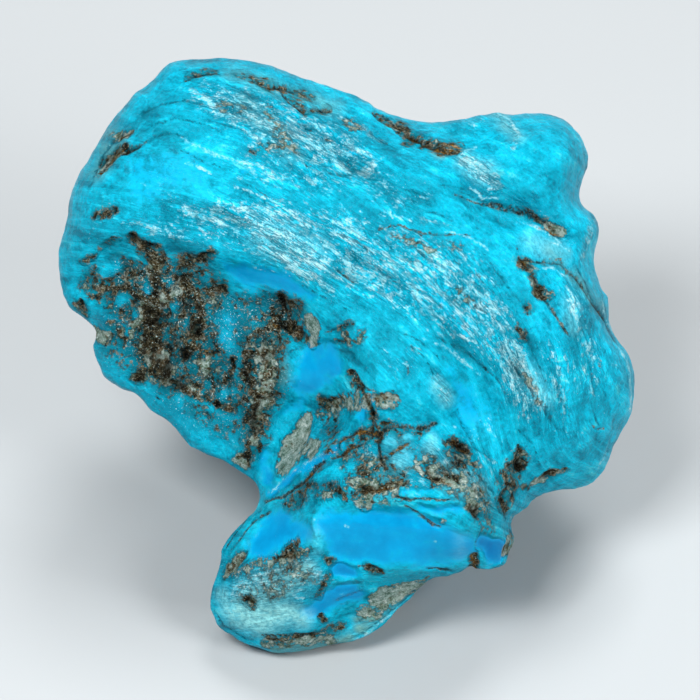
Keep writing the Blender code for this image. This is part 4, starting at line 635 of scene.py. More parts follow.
# its noises, with fineness per millimetre, detail and roughness: clouds of 3 mm, patches of 0.7 mm and
# 0.4 mm, crumbs of 0.2 mm and grit of 0.1 mm
NOISES = {
    "broad": (0.30, 2.0, 0.5), "mottle": (1.4, 4.0, 0.6), "rough": (2.4, 6.0, 0.72),
    "crumb": (4.6, 4.0, 0.65), "grit": (10.0, 3.0, 0.7)}
# noises drawn out along the layers, with fineness along and across, detail, roughness and warp: streaks of
# 3 by 0.6 mm, flecks of 0.5 by 0.2 mm and hairs of 1.3 by 0.2 mm
FLOWS = {
    "streak": (0.35, 1.7, 5.0, 0.62, 0.4), "fleck": (1.8, 4.0, 5.0, 0.68, 0.3),
    "hair": (0.8, 4.6, 3.0, 0.6, 0.6)}
# three unlike swarms of grains, in clusters of 0.4 mm broken down to the finest
SWARM_NAMES = ("rock_swarm", "clay_swarm", "tint_swarm")
SWARMS = (2.5, 6.0, 0.70)
# sums of marks and noises: the start, then what is added with its weight
SUMS = {
    "tone": (0.0, {"streak": 0.35, "crumb": 0.20, "mottle": 0.25, "broad": 0.20}),
    "pure": (0.0, {"blue": 1.0, "mottle": 1.2, "rough": 1.0}),
    "depth": (-0.50, {"blue": 0.60, "broad": 0.35, "mottle": 0.35}),
    "flecks": (0.0, {"fleck": 0.70, "crumb": 0.30}),
    "chalk_tone": (0.0, {"mottle": 0.5, "grit": 0.5}),
    "hair_room": (0.20, {"chalk": 0.70}),
    "teal_seam": (0.0, {"teal_line": 1.0, "fleck": 0.25, "crumb": 0.35}),
    "white_seam": (0.0, {"white_line": 1.0, "fleck": 0.25, "crumb": 0.35}),
    "mud": (0.0, {"clay_swarm": 1.0, "matrix": 0.14, "clay": 0.38}),
    "mud_tone": (0.0, {"rough": 0.6, "grit": 0.4}),
    "rock": (0.0, {"rock_swarm": 1.0, "matrix": 0.265}),
    "rock_tone": (0.0, {"tint_swarm": 0.5, "grit": 0.5}),
    "crack": (0.0, {"dark_line": 1.0, "rough": 0.20, "crumb": 0.25}),
    "gold": (0.0, {"gold_grain": 1.0, "crumb": 0.40}),
    "bumps": (0.0, {"mottle": 1.0, "fleck": 0.8, "crumb": 0.7, "streak": 0.9})}
# shares that follow from them: what each depends on, from where to where, and the share at either end
SHARES = {
    "teal_torn": ("mottle", 0.38, 0.60, 0.25, 1.0),
    "pure_share": ("pure", 1.35, 1.95, 0.0, 1.0),
    "sage_torn": ("streak", 0.38, 0.58, 0.3, 1.0),
    "milk_torn": ("crumb", 0.35, 0.6, 0.5, 1.0),
    "chalk_torn": ("streak", 0.36, 0.60, 0.70, 1.20),
    "hairs_left": ("blue", 0.2, 0.7, 1.0, 0.1),
    "bumps_left": ("blue", 0.2, 0.9, 1.0, 0.12),
    "teal_seam_share": ("teal_seam", 0.26, 0.36, 0.0, 0.85),
    "white_seam_share": ("white_seam", 0.27, 0.37, 0.0, 0.85),
    "stain": ("matrix", 0.02, 0.55, 0.0, 0.85),
    "mud_share": ("mud", 0.585, 0.665, 0.0, 1.0),
    "rock_share": ("rock", 0.58, 0.66, 0.0, 1.0),
    "crack_share": ("crack", 0.20, 0.27, 0.0, 0.9),
    "rust_share": ("tint_swarm", 0.54, 0.64, 0.0, 0.5),
    "gold_share": ("gold", 0.17, 0.28, 0.0, 1.0)}
FLECK_EDGE = (-0.30, 0.70)  # how high a fleck has to stand to show: slope over the chalk, and without any
FLECK_SPAN = (-0.03, 0.06)
FLECK_COVER = 0.85
HAIR_SPAN = (0.055, 0.012)  # distance from a crest of the hairs at which they start, and are full
SEAM_WEIGHT = 1.5        # how much thinner the hairs between the streaks are
STONY_SPAN = (0.04, 0.25)
MUD_COVER = 0.92
ROCK_COVER = 0.95
SALT_AND_GLINT_PULL = 0.14         # how much more bright crystals there are in matrix, teal and chalk; these white specks also serve as painted glints
SALT_AND_GLINT_SPAN = (0.75, 0.79, 0.0, 0.85)
CREVICE_SHADE_SPAN = (-0.25, 0.20)  # relief from the most shaded low places to the crests, in millimetres, over which the painted shade fades
MUD_BUMPS = 0.4          # share of the finest relief left on the clay
HAIR_BUMP = -0.12        # and what hairs and grains add to it
GRAIN_BUMP = 1.2
# colours of the turquoise from low to high tone, of its pure patches, of chalk, clay, rock and gold, and of
# the painted shade in the low places of the relief
BODY_RAMP = [(0.42, "#04809A"), (0.465, "#05A0BC"), (0.51, "#07B4D4"), (0.56, "#0CC6E4"), (0.62, "#50DAE8")]
PURE_RAMP = [(0.0, "#08C4EA"), (0.18, "#06B2E0"), (0.38, "#039AD0"), (0.60, "#037CB4"), (0.80, "#03629E")]
CHALK_RAMP = [(0.40, "#38AEC8"), (0.46, "#6EC6D6"), (0.52, "#96D2DC"), (0.60, "#BEE2E6")]
MUD_RAMP = [(0.39, "#3E4A36"), (0.45, "#647660"), (0.50, "#84968C"), (0.55, "#9EAEA4"), (0.63, "#CCD6CE")]
ROCK_RAMP = [(0.40, "#070A05"), (0.455, "#1C180C"), (0.50, "#42351E"), (0.54, "#645E46"), (0.60, "#96A092")]
GOLD_RAMP = [(0.40, "#42301A"), (0.60, "#A07838")]
CREVICE_SHADE_RAMP = [(0.0, "#707070"), (0.50, "#F0F0F0"), (1.0, "#FFFFFF")]
TINTS = {
    "teal": "#066E84", "sage": "#74A092", "milk": "#96E6EA", "hair": "#066A80", "teal_seam": "#056074",
    "stain": "#0A6470", "rust": "#643C1E", "salt_and_glint": "#C6ECF2"}
# settings of the nodes that are used again and again
SMOOTH = {"interpolation_type": "SMOOTHSTEP"}
TIMES, PLUS_TIMES = {"operation": "MULTIPLY"}, {"operation": "MULTIPLY_ADD"}
LESS, LARGER, SIZE = {"operation": "SUBTRACT"}, {"operation": "MAXIMUM"}, {"operation": "ABSOLUTE"}
COLOURS = {"data_type": "RGBA"}

# ---- studio, in millimetres, degrees and watts ----
FLOOR = "#ACB0B2"
FLOOR_HALF = 400.0       # half the side of the board under the stone
FLOOR_GRAIN = 900.0      # fineness of the paint's texture, per metre
FLOOR_ROUGHNESS = (0.80, 0.92)
WALLS = "#E9EDF2"
WALL_LIGHT = 0.22
AIM = (0.0, 0.0, 11.0)   # the softboxes point here
SOFTBOXES = [            # name, azimuth, elevation, distance, width, power
    ("key_light", -35.0, 55.0, 300.0, 100.0, 0.96),
    ("fill_light", 50.0, 35.0, 350.0, 130.0, 0.80),
    ("top_light", 160.0, 65.0, 320.0, 120.0, 0.70)]
LENS = 617.0
SENSOR_WIDTH = 36.0
CAMERA_DISTANCE = 600.0
CLIPPING = (50.0, 5000.0)


def smooth_step(x):
    """Rise from 0 to 1 while x goes from 0 to 1, level at both ends."""
    x = np.clip(x, 0.0, 1.0)
    return x * x * (3.0 - 2.0 * x)


def closed_curve(points, steps):
    """Round curve through all the points, in equal steps of each span (centripetal Catmull-Rom)."""
    p0, p1, p2, p3 = (np.roll(points, shift, axis=0) for shift in (1, 0, -1, -2))
    t1, gap2, gap3 = (np.linalg.norm(b - a, axis=1)[:, None] ** 0.5
                      for a, b in ((p0, p1), (p1, p2), (p2, p3)))
    t2 = t1 + gap2
    t3 = t2 + gap3
    spans = []
    for part in np.arange(steps) / steps:
        t = t1 + gap2 * part
        a1 = (p0 * (t1 - t) + p1 * t) / t1
        a2 = (p1 * (t2 - t) + p2 * (t - t1)) / gap2
        a3 = (p2 * (t3 - t) + p3 * (t - t2)) / gap3
        b1 = (a1 * (t2 - t) + a2 * t) / t2
        b2 = (a2 * (t3 - t) + a3 * (t - t1)) / (t3 - t1)
        spans.append((b1 * (t2 - t) + b2 * (t - t1)) / gap2)
    return np.stack(spans, axis=1).reshape(-1, points.shape[1])


def thin_plate(spots, ease):
    """Smooth sheet w(u, v) bent through all the spots (u, v, w); ease lets it pass beside them.

    It is the thin plate: a tilted plane plus, for every spot, a weight times r squared times log r.
    """
    spots = np.array(spots, dtype=float)
    count = len(spots)

    def bend(u, v):
        square = (u[:, None] - spots[:, 0]) ** 2 + (v[:, None] - spots[:, 1]) ** 2
        return 0.5 * square * np.log(square + TINY)

    tilt = np.column_stack((np.ones(count), spots[:, :2]))
    system = np.zeros((count + 3, count + 3))
    system[:count, :count] = bend(spots[:, 0], spots[:, 1]) + ease * np.eye(count)
    system[:count, count:] = tilt
    system[count:, :count] = tilt.T
    weights = np.linalg.solve(system, np.concatenate((spots[:, 2], np.zeros(3))))

    level, tilt_u, tilt_v = weights[count:]

    def sheet(u, v):
        return bend(u, v) @ weights[:count] + level + tilt_u * u + tilt_v * v

    return sheet


def section_spots(sections):
    """List the spots (u, v, w) of a set of sections."""
    return np.array([(u, v, w) for u, section in sections.items() for v, w in section])


def edge_distance(u, v, rim):
    """Smooth distance to the rim: exact beside it, rounded off in the middle of the face.

    It is the root of 2 / sum, where the sum runs round the rim over (step length) / (distance cubed).
    """
    start = rim[:, :2]
    step = np.roll(start, -1, axis=0) - start
    length = np.hypot(step[:, 0], step[:, 1])
    along = step / length[:, None]
    du = u[:, None] - start[:, 0]
    dv = v[:, None] - start[:, 1]
    near = du * along[:, 0] + dv * along[:, 1]
    square = np.maximum((du * along[:, 1] - dv * along[:, 0]) ** 2, 10.0 * TINY)
    far = near - length
    total = ((near / np.sqrt(square + near ** 2) - far / np.sqrt(square + far ** 2)) / square).sum(axis=1)
    return np.sqrt(2.0 / np.maximum(total, TINY))


def edge_rounding(distance, radius):
    """Quarter round: 0 at the rim, 1 from the radius inwards."""
    return np.sqrt(np.clip(1.0 - (1.0 - np.clip(distance / radius, 0.0, 1.0)) ** 2, 0.0, 1.0))


def run_up(lengths):
    """Running total of a row of lengths, from zero."""
    return np.concatenate(([0.0], np.cumsum(lengths)))


def stretches(u, v, line):
    """How places lie beside each straight stretch of a line.

    It gives the stretches' starts, steps and lengths; and for each place the part of the stretch that is
    nearest, the square of the distance to it, and the distance to the left times the length.
    """
    start, step = line[:-1], np.diff(line, axis=0)
    length = np.hypot(step[:, 0], step[:, 1])
    du = u[:, None] - start[:, 0]
    dv = v[:, None] - start[:, 1]
    part = np.clip((du * step[:, 0] + dv * step[:, 1]) / length ** 2, 0.0, 1.0)
    square = (du - part * step[:, 0]) ** 2 + (dv - part * step[:, 1]) ** 2
    return start, step, length, part, square, step[:, 0] * dv - step[:, 1] * du


def beside(u, v, line):
    """Signed distance to an open line (positive on its left), its length so far and its whole length."""
    _, _, length, part, square, left = stretches(u, v, np.array(line))
    nearest = np.argmin(square, axis=1)
    row = np.arange(len(u))
    reached = run_up(length)
    so_far = reached[nearest] + part[row, nearest] * length[nearest]
    return np.sign(left[row, nearest]) * np.sqrt(square[row, nearest]), so_far, reached[-1]


def ends_fade(reached, whole):
    """1 along the middle of a line and 0 at both of its ends."""
    return smooth_step(reached / TAPER) * smooth_step((whole - reached) / TAPER)


def cell_noise(points, cell, seed):
    """Smooth random relief from -1 to 1: hashed values on a cubic lattice, blended within each cell."""
    place = points / cell
    corner = np.floor(place).astype(np.int64)
    part = smooth_step(place - corner)
    total = np.zeros(len(points))
    for offset in np.ndindex(2, 2, 2):
        key = corner + offset
        mixed = np.bitwise_xor.reduce(key * AXIS_KEYS, axis=1) ^ (seed * SEED_KEY)
        mixed = (mixed * MIX_KEYS[0] + MIX_KEYS[1]) & LOW_BITS
        mixed = ((mixed >> 7) ^ mixed) * MIX_KEYS[2] & LOW_BITS
        value = (mixed >> 8) / float(LOW_BITS >> 8) * 2.0 - 1.0
        share = np.prod(np.where(offset, part, 1.0 - part), axis=1)
        total += share * value
    return total


def random_relief(points, sizes, first_seed):
    """Sum of random reliefs of several cell sizes and heights, each with the next seed."""
    return sum(rise * cell_noise(points, cell, seed) for seed, (cell, rise) in enumerate(sizes, first_seed))


def hollow_share(u, v):
    """1 on the floor of the hollow, 0 on the face, with a step between as wide as the border says.

    The distance to the border is the mean of the distances to all of its straight stretches, in which
    a stretch counts by the sixth power of how near it is, so that it stays smooth round the bends.
    """
    start, step, length, part, square, left = stretches(u, v, np.array(HOLLOW_BORDER))
    weight = length * (square + BORDER_BLEND) ** -3
    weight /= weight.sum(axis=1)[:, None]
    side = (weight * left / length).sum(axis=1)
    spread = (weight * (start[:, 2] + part * step[:, 2])).sum(axis=1)
    return smooth_step(BORDER_LIP - side / spread)


def skin_details(u, v, ledges, grooves, domes):
    """Heights of the ledges, grooves, ridges and domes that stand on a smooth skin.

    A ledge is half its drop times tanh(side / width), which a bell curve ends on both sides.  Grooves,
    ridges and domes are bell curves of the distance to their line or middle.
    """
    height = np.zeros(len(u))
    for line, drop, width, reach in ledges.values():
        side, reached, whole = beside(u, v, line)
        lip = np.tanh(side / width) * np.exp(-(side / reach) ** 2)
        height += 0.5 * drop * lip * ends_fade(reached, whole)
    for line, rise, half_width in grooves.values():
        side, reached, whole = beside(u, v, line)
        height += rise * np.exp(-(side / half_width) ** 2) * ends_fade(reached, whole)
    for middle_u, middle_v, rise, radius in domes.values():
        height += rise * np.exp(-((u - middle_u) ** 2 + (v - middle_v) ** 2) / radius ** 2)
    return height


def length_spots(curve):
    """Spots (u, v, length) of a curve, with its length counted from its start's place along the layers."""
    curve = np.array(curve)
    reached = run_up(np.hypot(*np.diff(curve, axis=0).T))
    return np.column_stack((curve, reached + curve[0] @ np.array(ALONG)))


class Stone:
    """The two skins of the stone, each a height w over the face, and the layers that it grew in."""

    def __init__(self):
        self.rim = closed_curve(np.array(RIM), RIM_STEPS)
        self.middle = thin_plate(RIM, RIM_EASE)
        layer_spots = [(u, v, layer) for layer, curve in LAYERS.items() for u, v in curve]
        self.layer = thin_plate(layer_spots, LAYER_EASE)
        along_spots = np.concatenate([length_spots(curve) for curve in LAYERS.values()])
        self.along = thin_plate(along_spots, LAYER_EASE)
        self.face = self.lift_sheet(section_spots(FACE_SECTIONS), FRONT_EDGE_RADIUS)
        self.hollow = self.lift_sheet(section_spots(HOLLOW_SECTIONS), FRONT_EDGE_RADIUS)
        self.back = self.lift_sheet(section_spots(BACK_SECTIONS), BACK_EDGE_RADIUS)

    def lift_sheet(self, spots, radius):
        """Sheet of the height above the middle that gives the spots their w once the edge is rounded."""
        u, v, w = spots.T
        rounding = np.maximum(edge_rounding(edge_distance(u, v, self.rim), radius), LEAST_ROUNDING)
        lift = (w - self.middle(u, v)) / rounding
        return thin_plate(np.column_stack((u, v, lift)), SECTION_EASE)

    def front_height(self, u, v, distance):
        """w of the front skin: face and hollow, blended across the hollow's border, plus their relief.

        w = middle + lift times the quarter round of the edge + swells, ledges, grooves, domes and lumps.
        """
        hollow = hollow_share(u, v)
        lift = self.face(u, v) * (1.0 - hollow) + self.hollow(u, v) * hollow
        rounding = edge_rounding(distance, FRONT_EDGE_RADIUS)
        flat = np.column_stack((u, v, np.zeros(len(u))))
        swell = np.cos(2.0 * np.pi * self.layer(u, v) / SWELL_SPACING)
        swell *= smooth_step((v - SWELL_END[0]) / (SWELL_END[1] - SWELL_END[0]))
        relief = SWELL_HEIGHT * swell * (1.0 - hollow) + skin_details(u, v, LEDGES, GROOVES, DOMES)
        for seed, (cell, face_rise, hollow_rise) in enumerate(RELIEF):
            rise = face_rise * (1.0 - hollow) + hollow_rise * hollow
            relief += rise * cell_noise(flat, cell, seed)
        settled = smooth_step(distance / FRONT_SETTLE)
        return self.middle(u, v) + lift * rounding + relief * settled

    def back_height(self, u, v, distance):
        """w of the back skin: a rounded swell with ledges, domes and broad lumps."""
        rounding = edge_rounding(distance, BACK_EDGE_RADIUS)
        flat = np.column_stack((u, v, np.full(len(u), BACK_LEVEL)))
        relief = -skin_details(u, v, BACK_LEDGES, {}, BACK_DOMES)
        relief += random_relief(flat, BACK_RELIEF, BACK_SEED)
        settled = smooth_step(distance / BACK_SETTLE)
        return self.middle(u, v) + self.back(u, v) * rounding + relief * settled


def flat_distance(x, y, flat):
    """About how far a place on the ground lies outside an oval flat, in millimetres; below 0 inside."""
    (middle_x, middle_y), (half_x, half_y) = flat
    ring = np.hypot((x - middle_x) / half_x, (y - middle_y) / half_y)
    return (ring - 1.0) * min(half_x, half_y)


def wear_underside(points):
    """Lift what lies too low onto the two worn flats on the ground and the shallow arch between them."""
    x, y, z = points.T
    outside = np.minimum(flat_distance(x, y, FOOT_FLAT), flat_distance(x, y, HEEL_FLAT))
    under = ARCH_HEIGHT * smooth_step(outside / FLAT_FADE)
    near = np.maximum(WORN_EDGE - np.abs(z - under), 0.0)
    raised = np.maximum(z, under) + near ** 2 / (4.0 * WORN_EDGE)
    return np.column_stack((x, y, raised))


def stand_up(u, v, w):
    """Turn places on the leaning face into x, y, z above the ground."""
    lean = np.radians(LEAN)
    y = v * np.sin(lean) - w * np.cos(lean)
    z = v * np.cos(lean) + w * np.sin(lean) + FACE_HEIGHT
    return np.column_stack((u, y, z))


def map_place(u, v):
    """Turn places on the face into places on the map of the face, right and down."""
    return u / MAP_STEP + MAP_MIDDLE, MAP_MIDDLE - v / MAP_STEP


def depth_inside(right, down, line):
    """Depth in millimetres inside a line whose half width changes along it, below 0 outside.

    It is the largest, over the line's straight stretches, of the half width there less the distance.
    """
    line = np.array(line, dtype=float)
    if len(line) == 1:  # a round spot is a line with hardly any length
        line = np.vstack((line, line + (0.001, 0.0, 0.0)))
    deepest = np.full(len(right), -np.inf)
    for (x0, y0, r0), (x1, y1, r1) in zip(line[:-1], line[1:]):
        dx, dy = x1 - x0, y1 - y0
        part = np.clip(((right - x0) * dx + (down - y0) * dy) / (dx * dx + dy * dy), 0.0, 1.0)
        away = np.hypot(right - x0 - part * dx, down - y0 - part * dy)
        deepest = np.maximum(deepest, r0 + part * (r1 - r0) - away)
    return deepest * MAP_STEP


def soft_marks(right, down, marks):
    """Strength of a set of soft marks, from 0 up: the strongest that reaches each place."""
    strength = np.zeros(len(right))
    for most, softness, line in marks:
        inside = smooth_step(depth_inside(right, down, line) / softness + 0.5)
        strength = np.maximum(strength, most * inside)
    return strength


def crisp_marks(right, down, marks):
    """Depth in millimetres inside the nearest of a set of crisp lines, held between -1 and 1."""
    deepest = np.full(len(right), -1.0)
    for line in marks:
        deepest = np.maximum(deepest, depth_inside(right, down, line))
    return np.minimum(deepest, 1.0)


def in_parts(work, *columns):
    """Work through long columns a part at a time, which keeps the tables of distances small."""
    cuts = range(0, len(columns[0]), PART_ROWS)
    return np.concatenate([work(*(column[cut:cut + PART_ROWS] for column in columns)) for cut in cuts])


def square_places(cells):
    """Ring and station of the crossings of a square grid, with a number of cells to a side.

    The ring is 0 at the grid's middle and 1 on its border: the largest of the shares of the way to its
    four sides.  The station is where the ray from the middle through the crossing meets the border,
    counted 0 to 4 round it from the top left.
    """
    x, y = np.meshgrid(*[np.linspace(0.0, 1.0, cells + 1)] * 2, indexing="ij")
    p, q = GRID_MIDDLE
    shares = np.stack(((q - y) / q, (x - p) / (1.0 - p), (y - q) / (1.0 - q), (p - x) / p))
    ring = shares.max(axis=0)
    reach = np.maximum(ring, TINY)
    x, y = p + (x - p) / reach, q + (y - q) / reach
    station = np.choose(shares.argmax(axis=0), (x, 1.0 + y, 3.0 - x, 4.0 - y))
    return ring.ravel(), station.ravel() % 4.0


def rim_stations(rim):
    """Stations and places of the rim's own points, as one closed row that starts at the first corner."""
    corners = [np.argmin(np.hypot(rim[:, 0] - u, rim[:, 1] - v)) for u, v in RIM_CORNERS]
    row = np.roll(rim[:, :2], -corners[0], axis=0)
    row = np.vstack((row, row[:1]))
    reached = run_up(np.hypot(*np.diff(row, axis=0).T))
    ends = [reached[(corner - corners[0]) % len(rim)] for corner in corners] + [reached[-1]]
    return np.interp(reached, ends, np.arange(5.0)), row


def ring_places(rim_row, ring, station):
    """u and v of places a share of the way from the face's middle to the rim, and the way left to it."""
    rim_u, rim_v = (np.interp(station, rim_row[0], rim_row[1][:, axis]) for axis in (0, 1))
    out_u, out_v = rim_u - FACE_MIDDLE[0], rim_v - FACE_MIDDLE[1]
    left = (1.0 - ring) * np.hypot(out_u, out_v)
    return FACE_MIDDLE[0] + ring * out_u, FACE_MIDDLE[1] + ring * out_v, left


def skin_points(stone, u, v, left, on_front):
    """Points of one skin before it is worn, in millimetres, and their distance to the rim."""
    distance = np.minimum(in_parts(lambda a, b: edge_distance(a, b, stone.rim), u, v), left)
    height = stone.front_height if on_front else stone.back_height
    return stand_up(u, v, in_parts(height, u, v, distance)), distance


def even_rings(stone, rim_row, on_front):
    """Table of the rings that lie an even length apart along each ray, blurred over the rays beside it."""
    fine = np.sin(np.linspace(0.0, 0.5 * np.pi, RING_STEPS + 1))
    station = np.arange(RAYS) * 4.0 / RAYS
    grid = np.broadcast_to(fine, (RAYS, len(fine))).ravel(), np.repeat(station, len(fine))
    points, _ = skin_points(stone, *ring_places(rim_row, *grid), on_front)
    gap = np.linalg.norm(np.diff(points.reshape(RAYS, -1, 3), axis=1), axis=2)
    gap = gap / gap.sum(axis=1)[:, None] + RING_SHARE / RING_STEPS
    first = -(len(RAY_BLUR) // 2)
    gap = sum(weight * np.roll(gap, shift, axis=0) for shift, weight in enumerate(RAY_BLUR, first))
    reached = np.column_stack((np.zeros(RAYS), np.cumsum(gap, axis=1)))
    wanted = np.linspace(0.0, 1.0, RING_STEPS + 1)
    return np.array([np.interp(wanted, row / row[-1], fine) for row in reached])


def even_places(table, ring, station):
    """Move rings along their rays to where the table says, in straight lines between its entries."""
    row, column = station * len(table) / 4.0, ring * RING_STEPS
    low, first = np.floor(row).astype(int), np.minimum(np.floor(column).astype(int), RING_STEPS - 1)
    a, b = row - low, column - first
    low, high = low % len(table), (low + 1) % len(table)
    near = (1.0 - b) * table[low, first] + b * table[low, first + 1]
    return (1.0 - a) * near + a * ((1.0 - b) * table[high, first] + b * table[high, first + 1])


def skin_net(stone, rim_row, cells, on_front):
    """Points of one skin over its square grid of cells, with their u, v and distance to the rim."""
    ring, station = square_places(cells)
    ring = even_places(even_rings(stone, rim_row, on_front), ring, station)
    u, v, left = ring_places(rim_row, ring, station)
    points, distance = skin_points(stone, u, v, left, on_front)
    return points, u, v, distance


def border(table):
    """The point numbers round the edge of a square table, from its top left."""
    return np.concatenate((table[:-1, 0], table[-1, :-1], table[:0:-1, -1], table[0, :0:-1]))


def stitch(outer, inner):
    """Triangles between two closed rows of points: each outer step goes to the inner point beside it."""
    near = np.floor((np.arange(len(outer)) + 0.5) * len(inner) / len(outer) + 0.5).astype(int)
    near %= len(inner)
    steps = np.column_stack((outer, np.roll(outer, -1), inner[near]))
    before = np.roll(near, 1)
    turns = np.column_stack((inner[before], outer, inner[near]))[before != near]
    return np.concatenate((steps, turns))


def net_faces(front, back):
    """Corner numbers of the faces: front cells, back cells twice as wide, and the stitches along the rim.

    front and back are square tables of point numbers, and back ends one cell short of the rim all round.
    """
    quads = [np.stack((grid[:-1, :-1], grid[:-1, 1:], grid[1:, 1:], grid[1:, :-1]), axis=-1).reshape(-1, 4)
             for grid in (front, back.T)]
    return np.concatenate(quads), stitch(border(front), border(back))


def point_normals(points, triangles):
    """Outward unit vectors at the points: the sum of the areas of the triangles round each."""
    corner = points[triangles]
    area = np.cross(corner[:, 1] - corner[:, 0], corner[:, 2] - corner[:, 0])
    total = np.zeros_like(points)
    for place in range(3):
        for axis in range(3):
            total[:, axis] += np.bincount(triangles[:, place], area[:, axis], len(points))
    return total / np.maximum(np.linalg.norm(total, axis=1), TINY)[:, None]


def shape_stone(stone):
    """Lay out the stone's points and faces: u, v, share of the back, points, four-sided faces, triangles.

    Each skin is a square grid drawn out over the face: its rings shrink from the rim to the face's middle,
    and its points lie an even length apart along the rays between.  Both skins share the points of the rim.
    """
    rim_row = rim_stations(stone.rim)
    front = skin_net(stone, rim_row, CELLS, True)
    back = skin_net(stone, rim_row, CELLS // 2, False)
    inner = np.zeros((CELLS // 2 + 1, CELLS // 2 + 1), dtype=bool)
    inner[1:-1, 1:-1] = True
    inner = inner.ravel()
    points, u, v, distance = (np.concatenate((a, b[inner])) for a, b in zip(front, back))
    share = np.concatenate((np.zeros(len(front[1])), smooth_step(back[3][inner] / BACK_SHARE)))
    front_table = np.arange((CELLS + 1) ** 2).reshape(CELLS + 1, -1)
    back_table = front_table.size + np.arange(inner.sum()).reshape(CELLS // 2 - 1, -1)
    return (u, v, share, points) + net_faces(front_table, back_table)


def stone_marks(u, v, share, points):
    """Strengths of the marks at every point, with their edges frayed by fine random shifts."""
    right, down = map_place(u, v)
    fray = [random_relief(points, FRAY[:1], seed) + random_relief(points, FRAY[1:], finer_seed)
            for seed, finer_seed in zip(*FRAY_SEEDS)]
    found = {}
    for kinds, work, amount in ((SOFT_MARKS, soft_marks, 1.0), (CRISP_MARKS, crisp_marks, CRISP_FRAY)):
        at = (right + amount * fray[0], down + amount * fray[1])
        for name, (front, back) in kinds.items():
            near = in_parts(partial(work, marks=front), *at)
            far = in_parts(partial(work, marks=back), *at)
            found[name] = near * (1.0 - share) + far * share
    for name in ("matrix", "clay"):
        found[name] *= 1.0 - found["nodule"]
    return found


def fine_relief(marks, along, across, points):
    """Fine relief in millimetres that the plain solid doesn't have.

    Streaks are random ridges drawn out along the layers, high where the stone is chalky and low where it
    is smooth and blue.  The matrix lies a little below the turquoise and is grainy, nodules stand out of
    it, and the lines are grooves or seams.  Nothing rises above the solid, which lies INSET higher.
    """
    flow = np.column_stack((along / STREAK_STRETCH, across, np.zeros(len(along))))
    smooth = smooth_step(marks["blue"] / FULL_BLUE)
    matrix = np.clip(marks["matrix"] * MATRIX_GAIN, 0.0, 1.0)
    chalk = np.clip(marks["chalk"], 0.0, 1.0)
    streaky = (PLAIN_STREAKS + (1.0 - PLAIN_STREAKS) * chalk) * (1.0 - STREAK_CALM * smooth)
    relief = random_relief(flow, STREAKS, STREAK_SEED) * streaky * (1.0 - matrix)
    relief += random_relief(points, LUMPS, LUMP_SEED) * (1.0 - LUMP_CALM * smooth)
    grit = random_relief(points, GRIT, GRIT_SEED) * (1.0 - GRIT_CALM * smooth)
    relief += matrix * (grit - MATRIX_DROP)
    relief += NODULE_RISE * marks["nodule"]
    for name, rise in LINE_RISES.items():
        relief += rise * smooth_step(marks[name] / LINE_SOFTNESS + 0.5)
    return np.minimum(relief, RELIEF_CAP * INSET)


def put(name, data):
    """New object of the scene, at the origin, unturned and unscaled."""
    made = bpy.data.objects.new(name, data)
    bpy.context.scene.collection.objects.link(made)
    return made


def build_nugget():
    """Put the whole stone together as one mesh and give its points the marks that its finish reads."""
    stone = Stone()
    u, v, share, points, quads, triangles = shape_stone(stone)
    halves = np.concatenate((quads[:, :3], quads[:, [0, 2, 3]], triangles))
    normals = point_normals(points, halves)
    marks = stone_marks(u, v, share, points)
    along, across = in_parts(stone.along, u, v), in_parts(stone.layer, u, v)
    relief = fine_relief(marks, along, across, points)
    points = wear_underside(points + normals * (relief - INSET)[:, None])
    del marks["nodule"]
    marks.update(along=along, across=across, relief=relief)

    data = bpy.data.meshes.new("turquoise_nugget_skin")
    data.from_pydata(points * MM, [], quads.tolist() + triangles.tolist())
    for name, values in marks.items():
        data.attributes.new(name, "FLOAT", "POINT").data.foreach_set("value", values.astype(np.float32))
    data.shade_smooth()
    data.update()
    return put("nugget_skin", data)


def linear(code):
    """Turn an sRGB hex colour into the linear colour that the shaders use."""
    parts = [int(code[place:place + 2], 16) / 255.0 for place in (1, 3, 5)]
    return tuple(p / 12.92 if p <= 0.04045 else ((p + 0.055) / 1.055) ** 2.4 for p in parts) + (1.0,)


def new_finish(name):
    """New material, its node tree and its shader."""
    material = bpy.data.materials.new(name)
    material.use_nodes = True
    return material, material.node_tree, material.node_tree.nodes["Principled BSDF"]


def add(tree, kind, *feeds, out=0, stops=(), **settings):
    """Add a node: its settings, then its open inputs in order as numbers, colours or links.

    A feed of None leaves an input as it is.  out names the output to hand back, or counts it among the
    open ones.  stops are the places and colours of a ramp.
    """
    made = tree.nodes.new("ShaderNode" + kind)
    for name, value in settings.items():
        setattr(made, name, value)
    for place in range(len(stops) - 2):
        made.color_ramp.elements.new(0.5)
    for element, (place, code) in zip(made.color_ramp.elements if stops else (), stops):
        element.position, element.color = place, linear(code)
    for socket, value in zip([socket for socket in made.inputs if socket.enabled], feeds):
        if isinstance(value, bpy.types.NodeSocket):
            tree.links.new(value, socket)
        elif value is not None:
            socket.default_value = value
    return made.outputs[out] if isinstance(out, str) else [one for one in made.outputs if one.enabled][out]


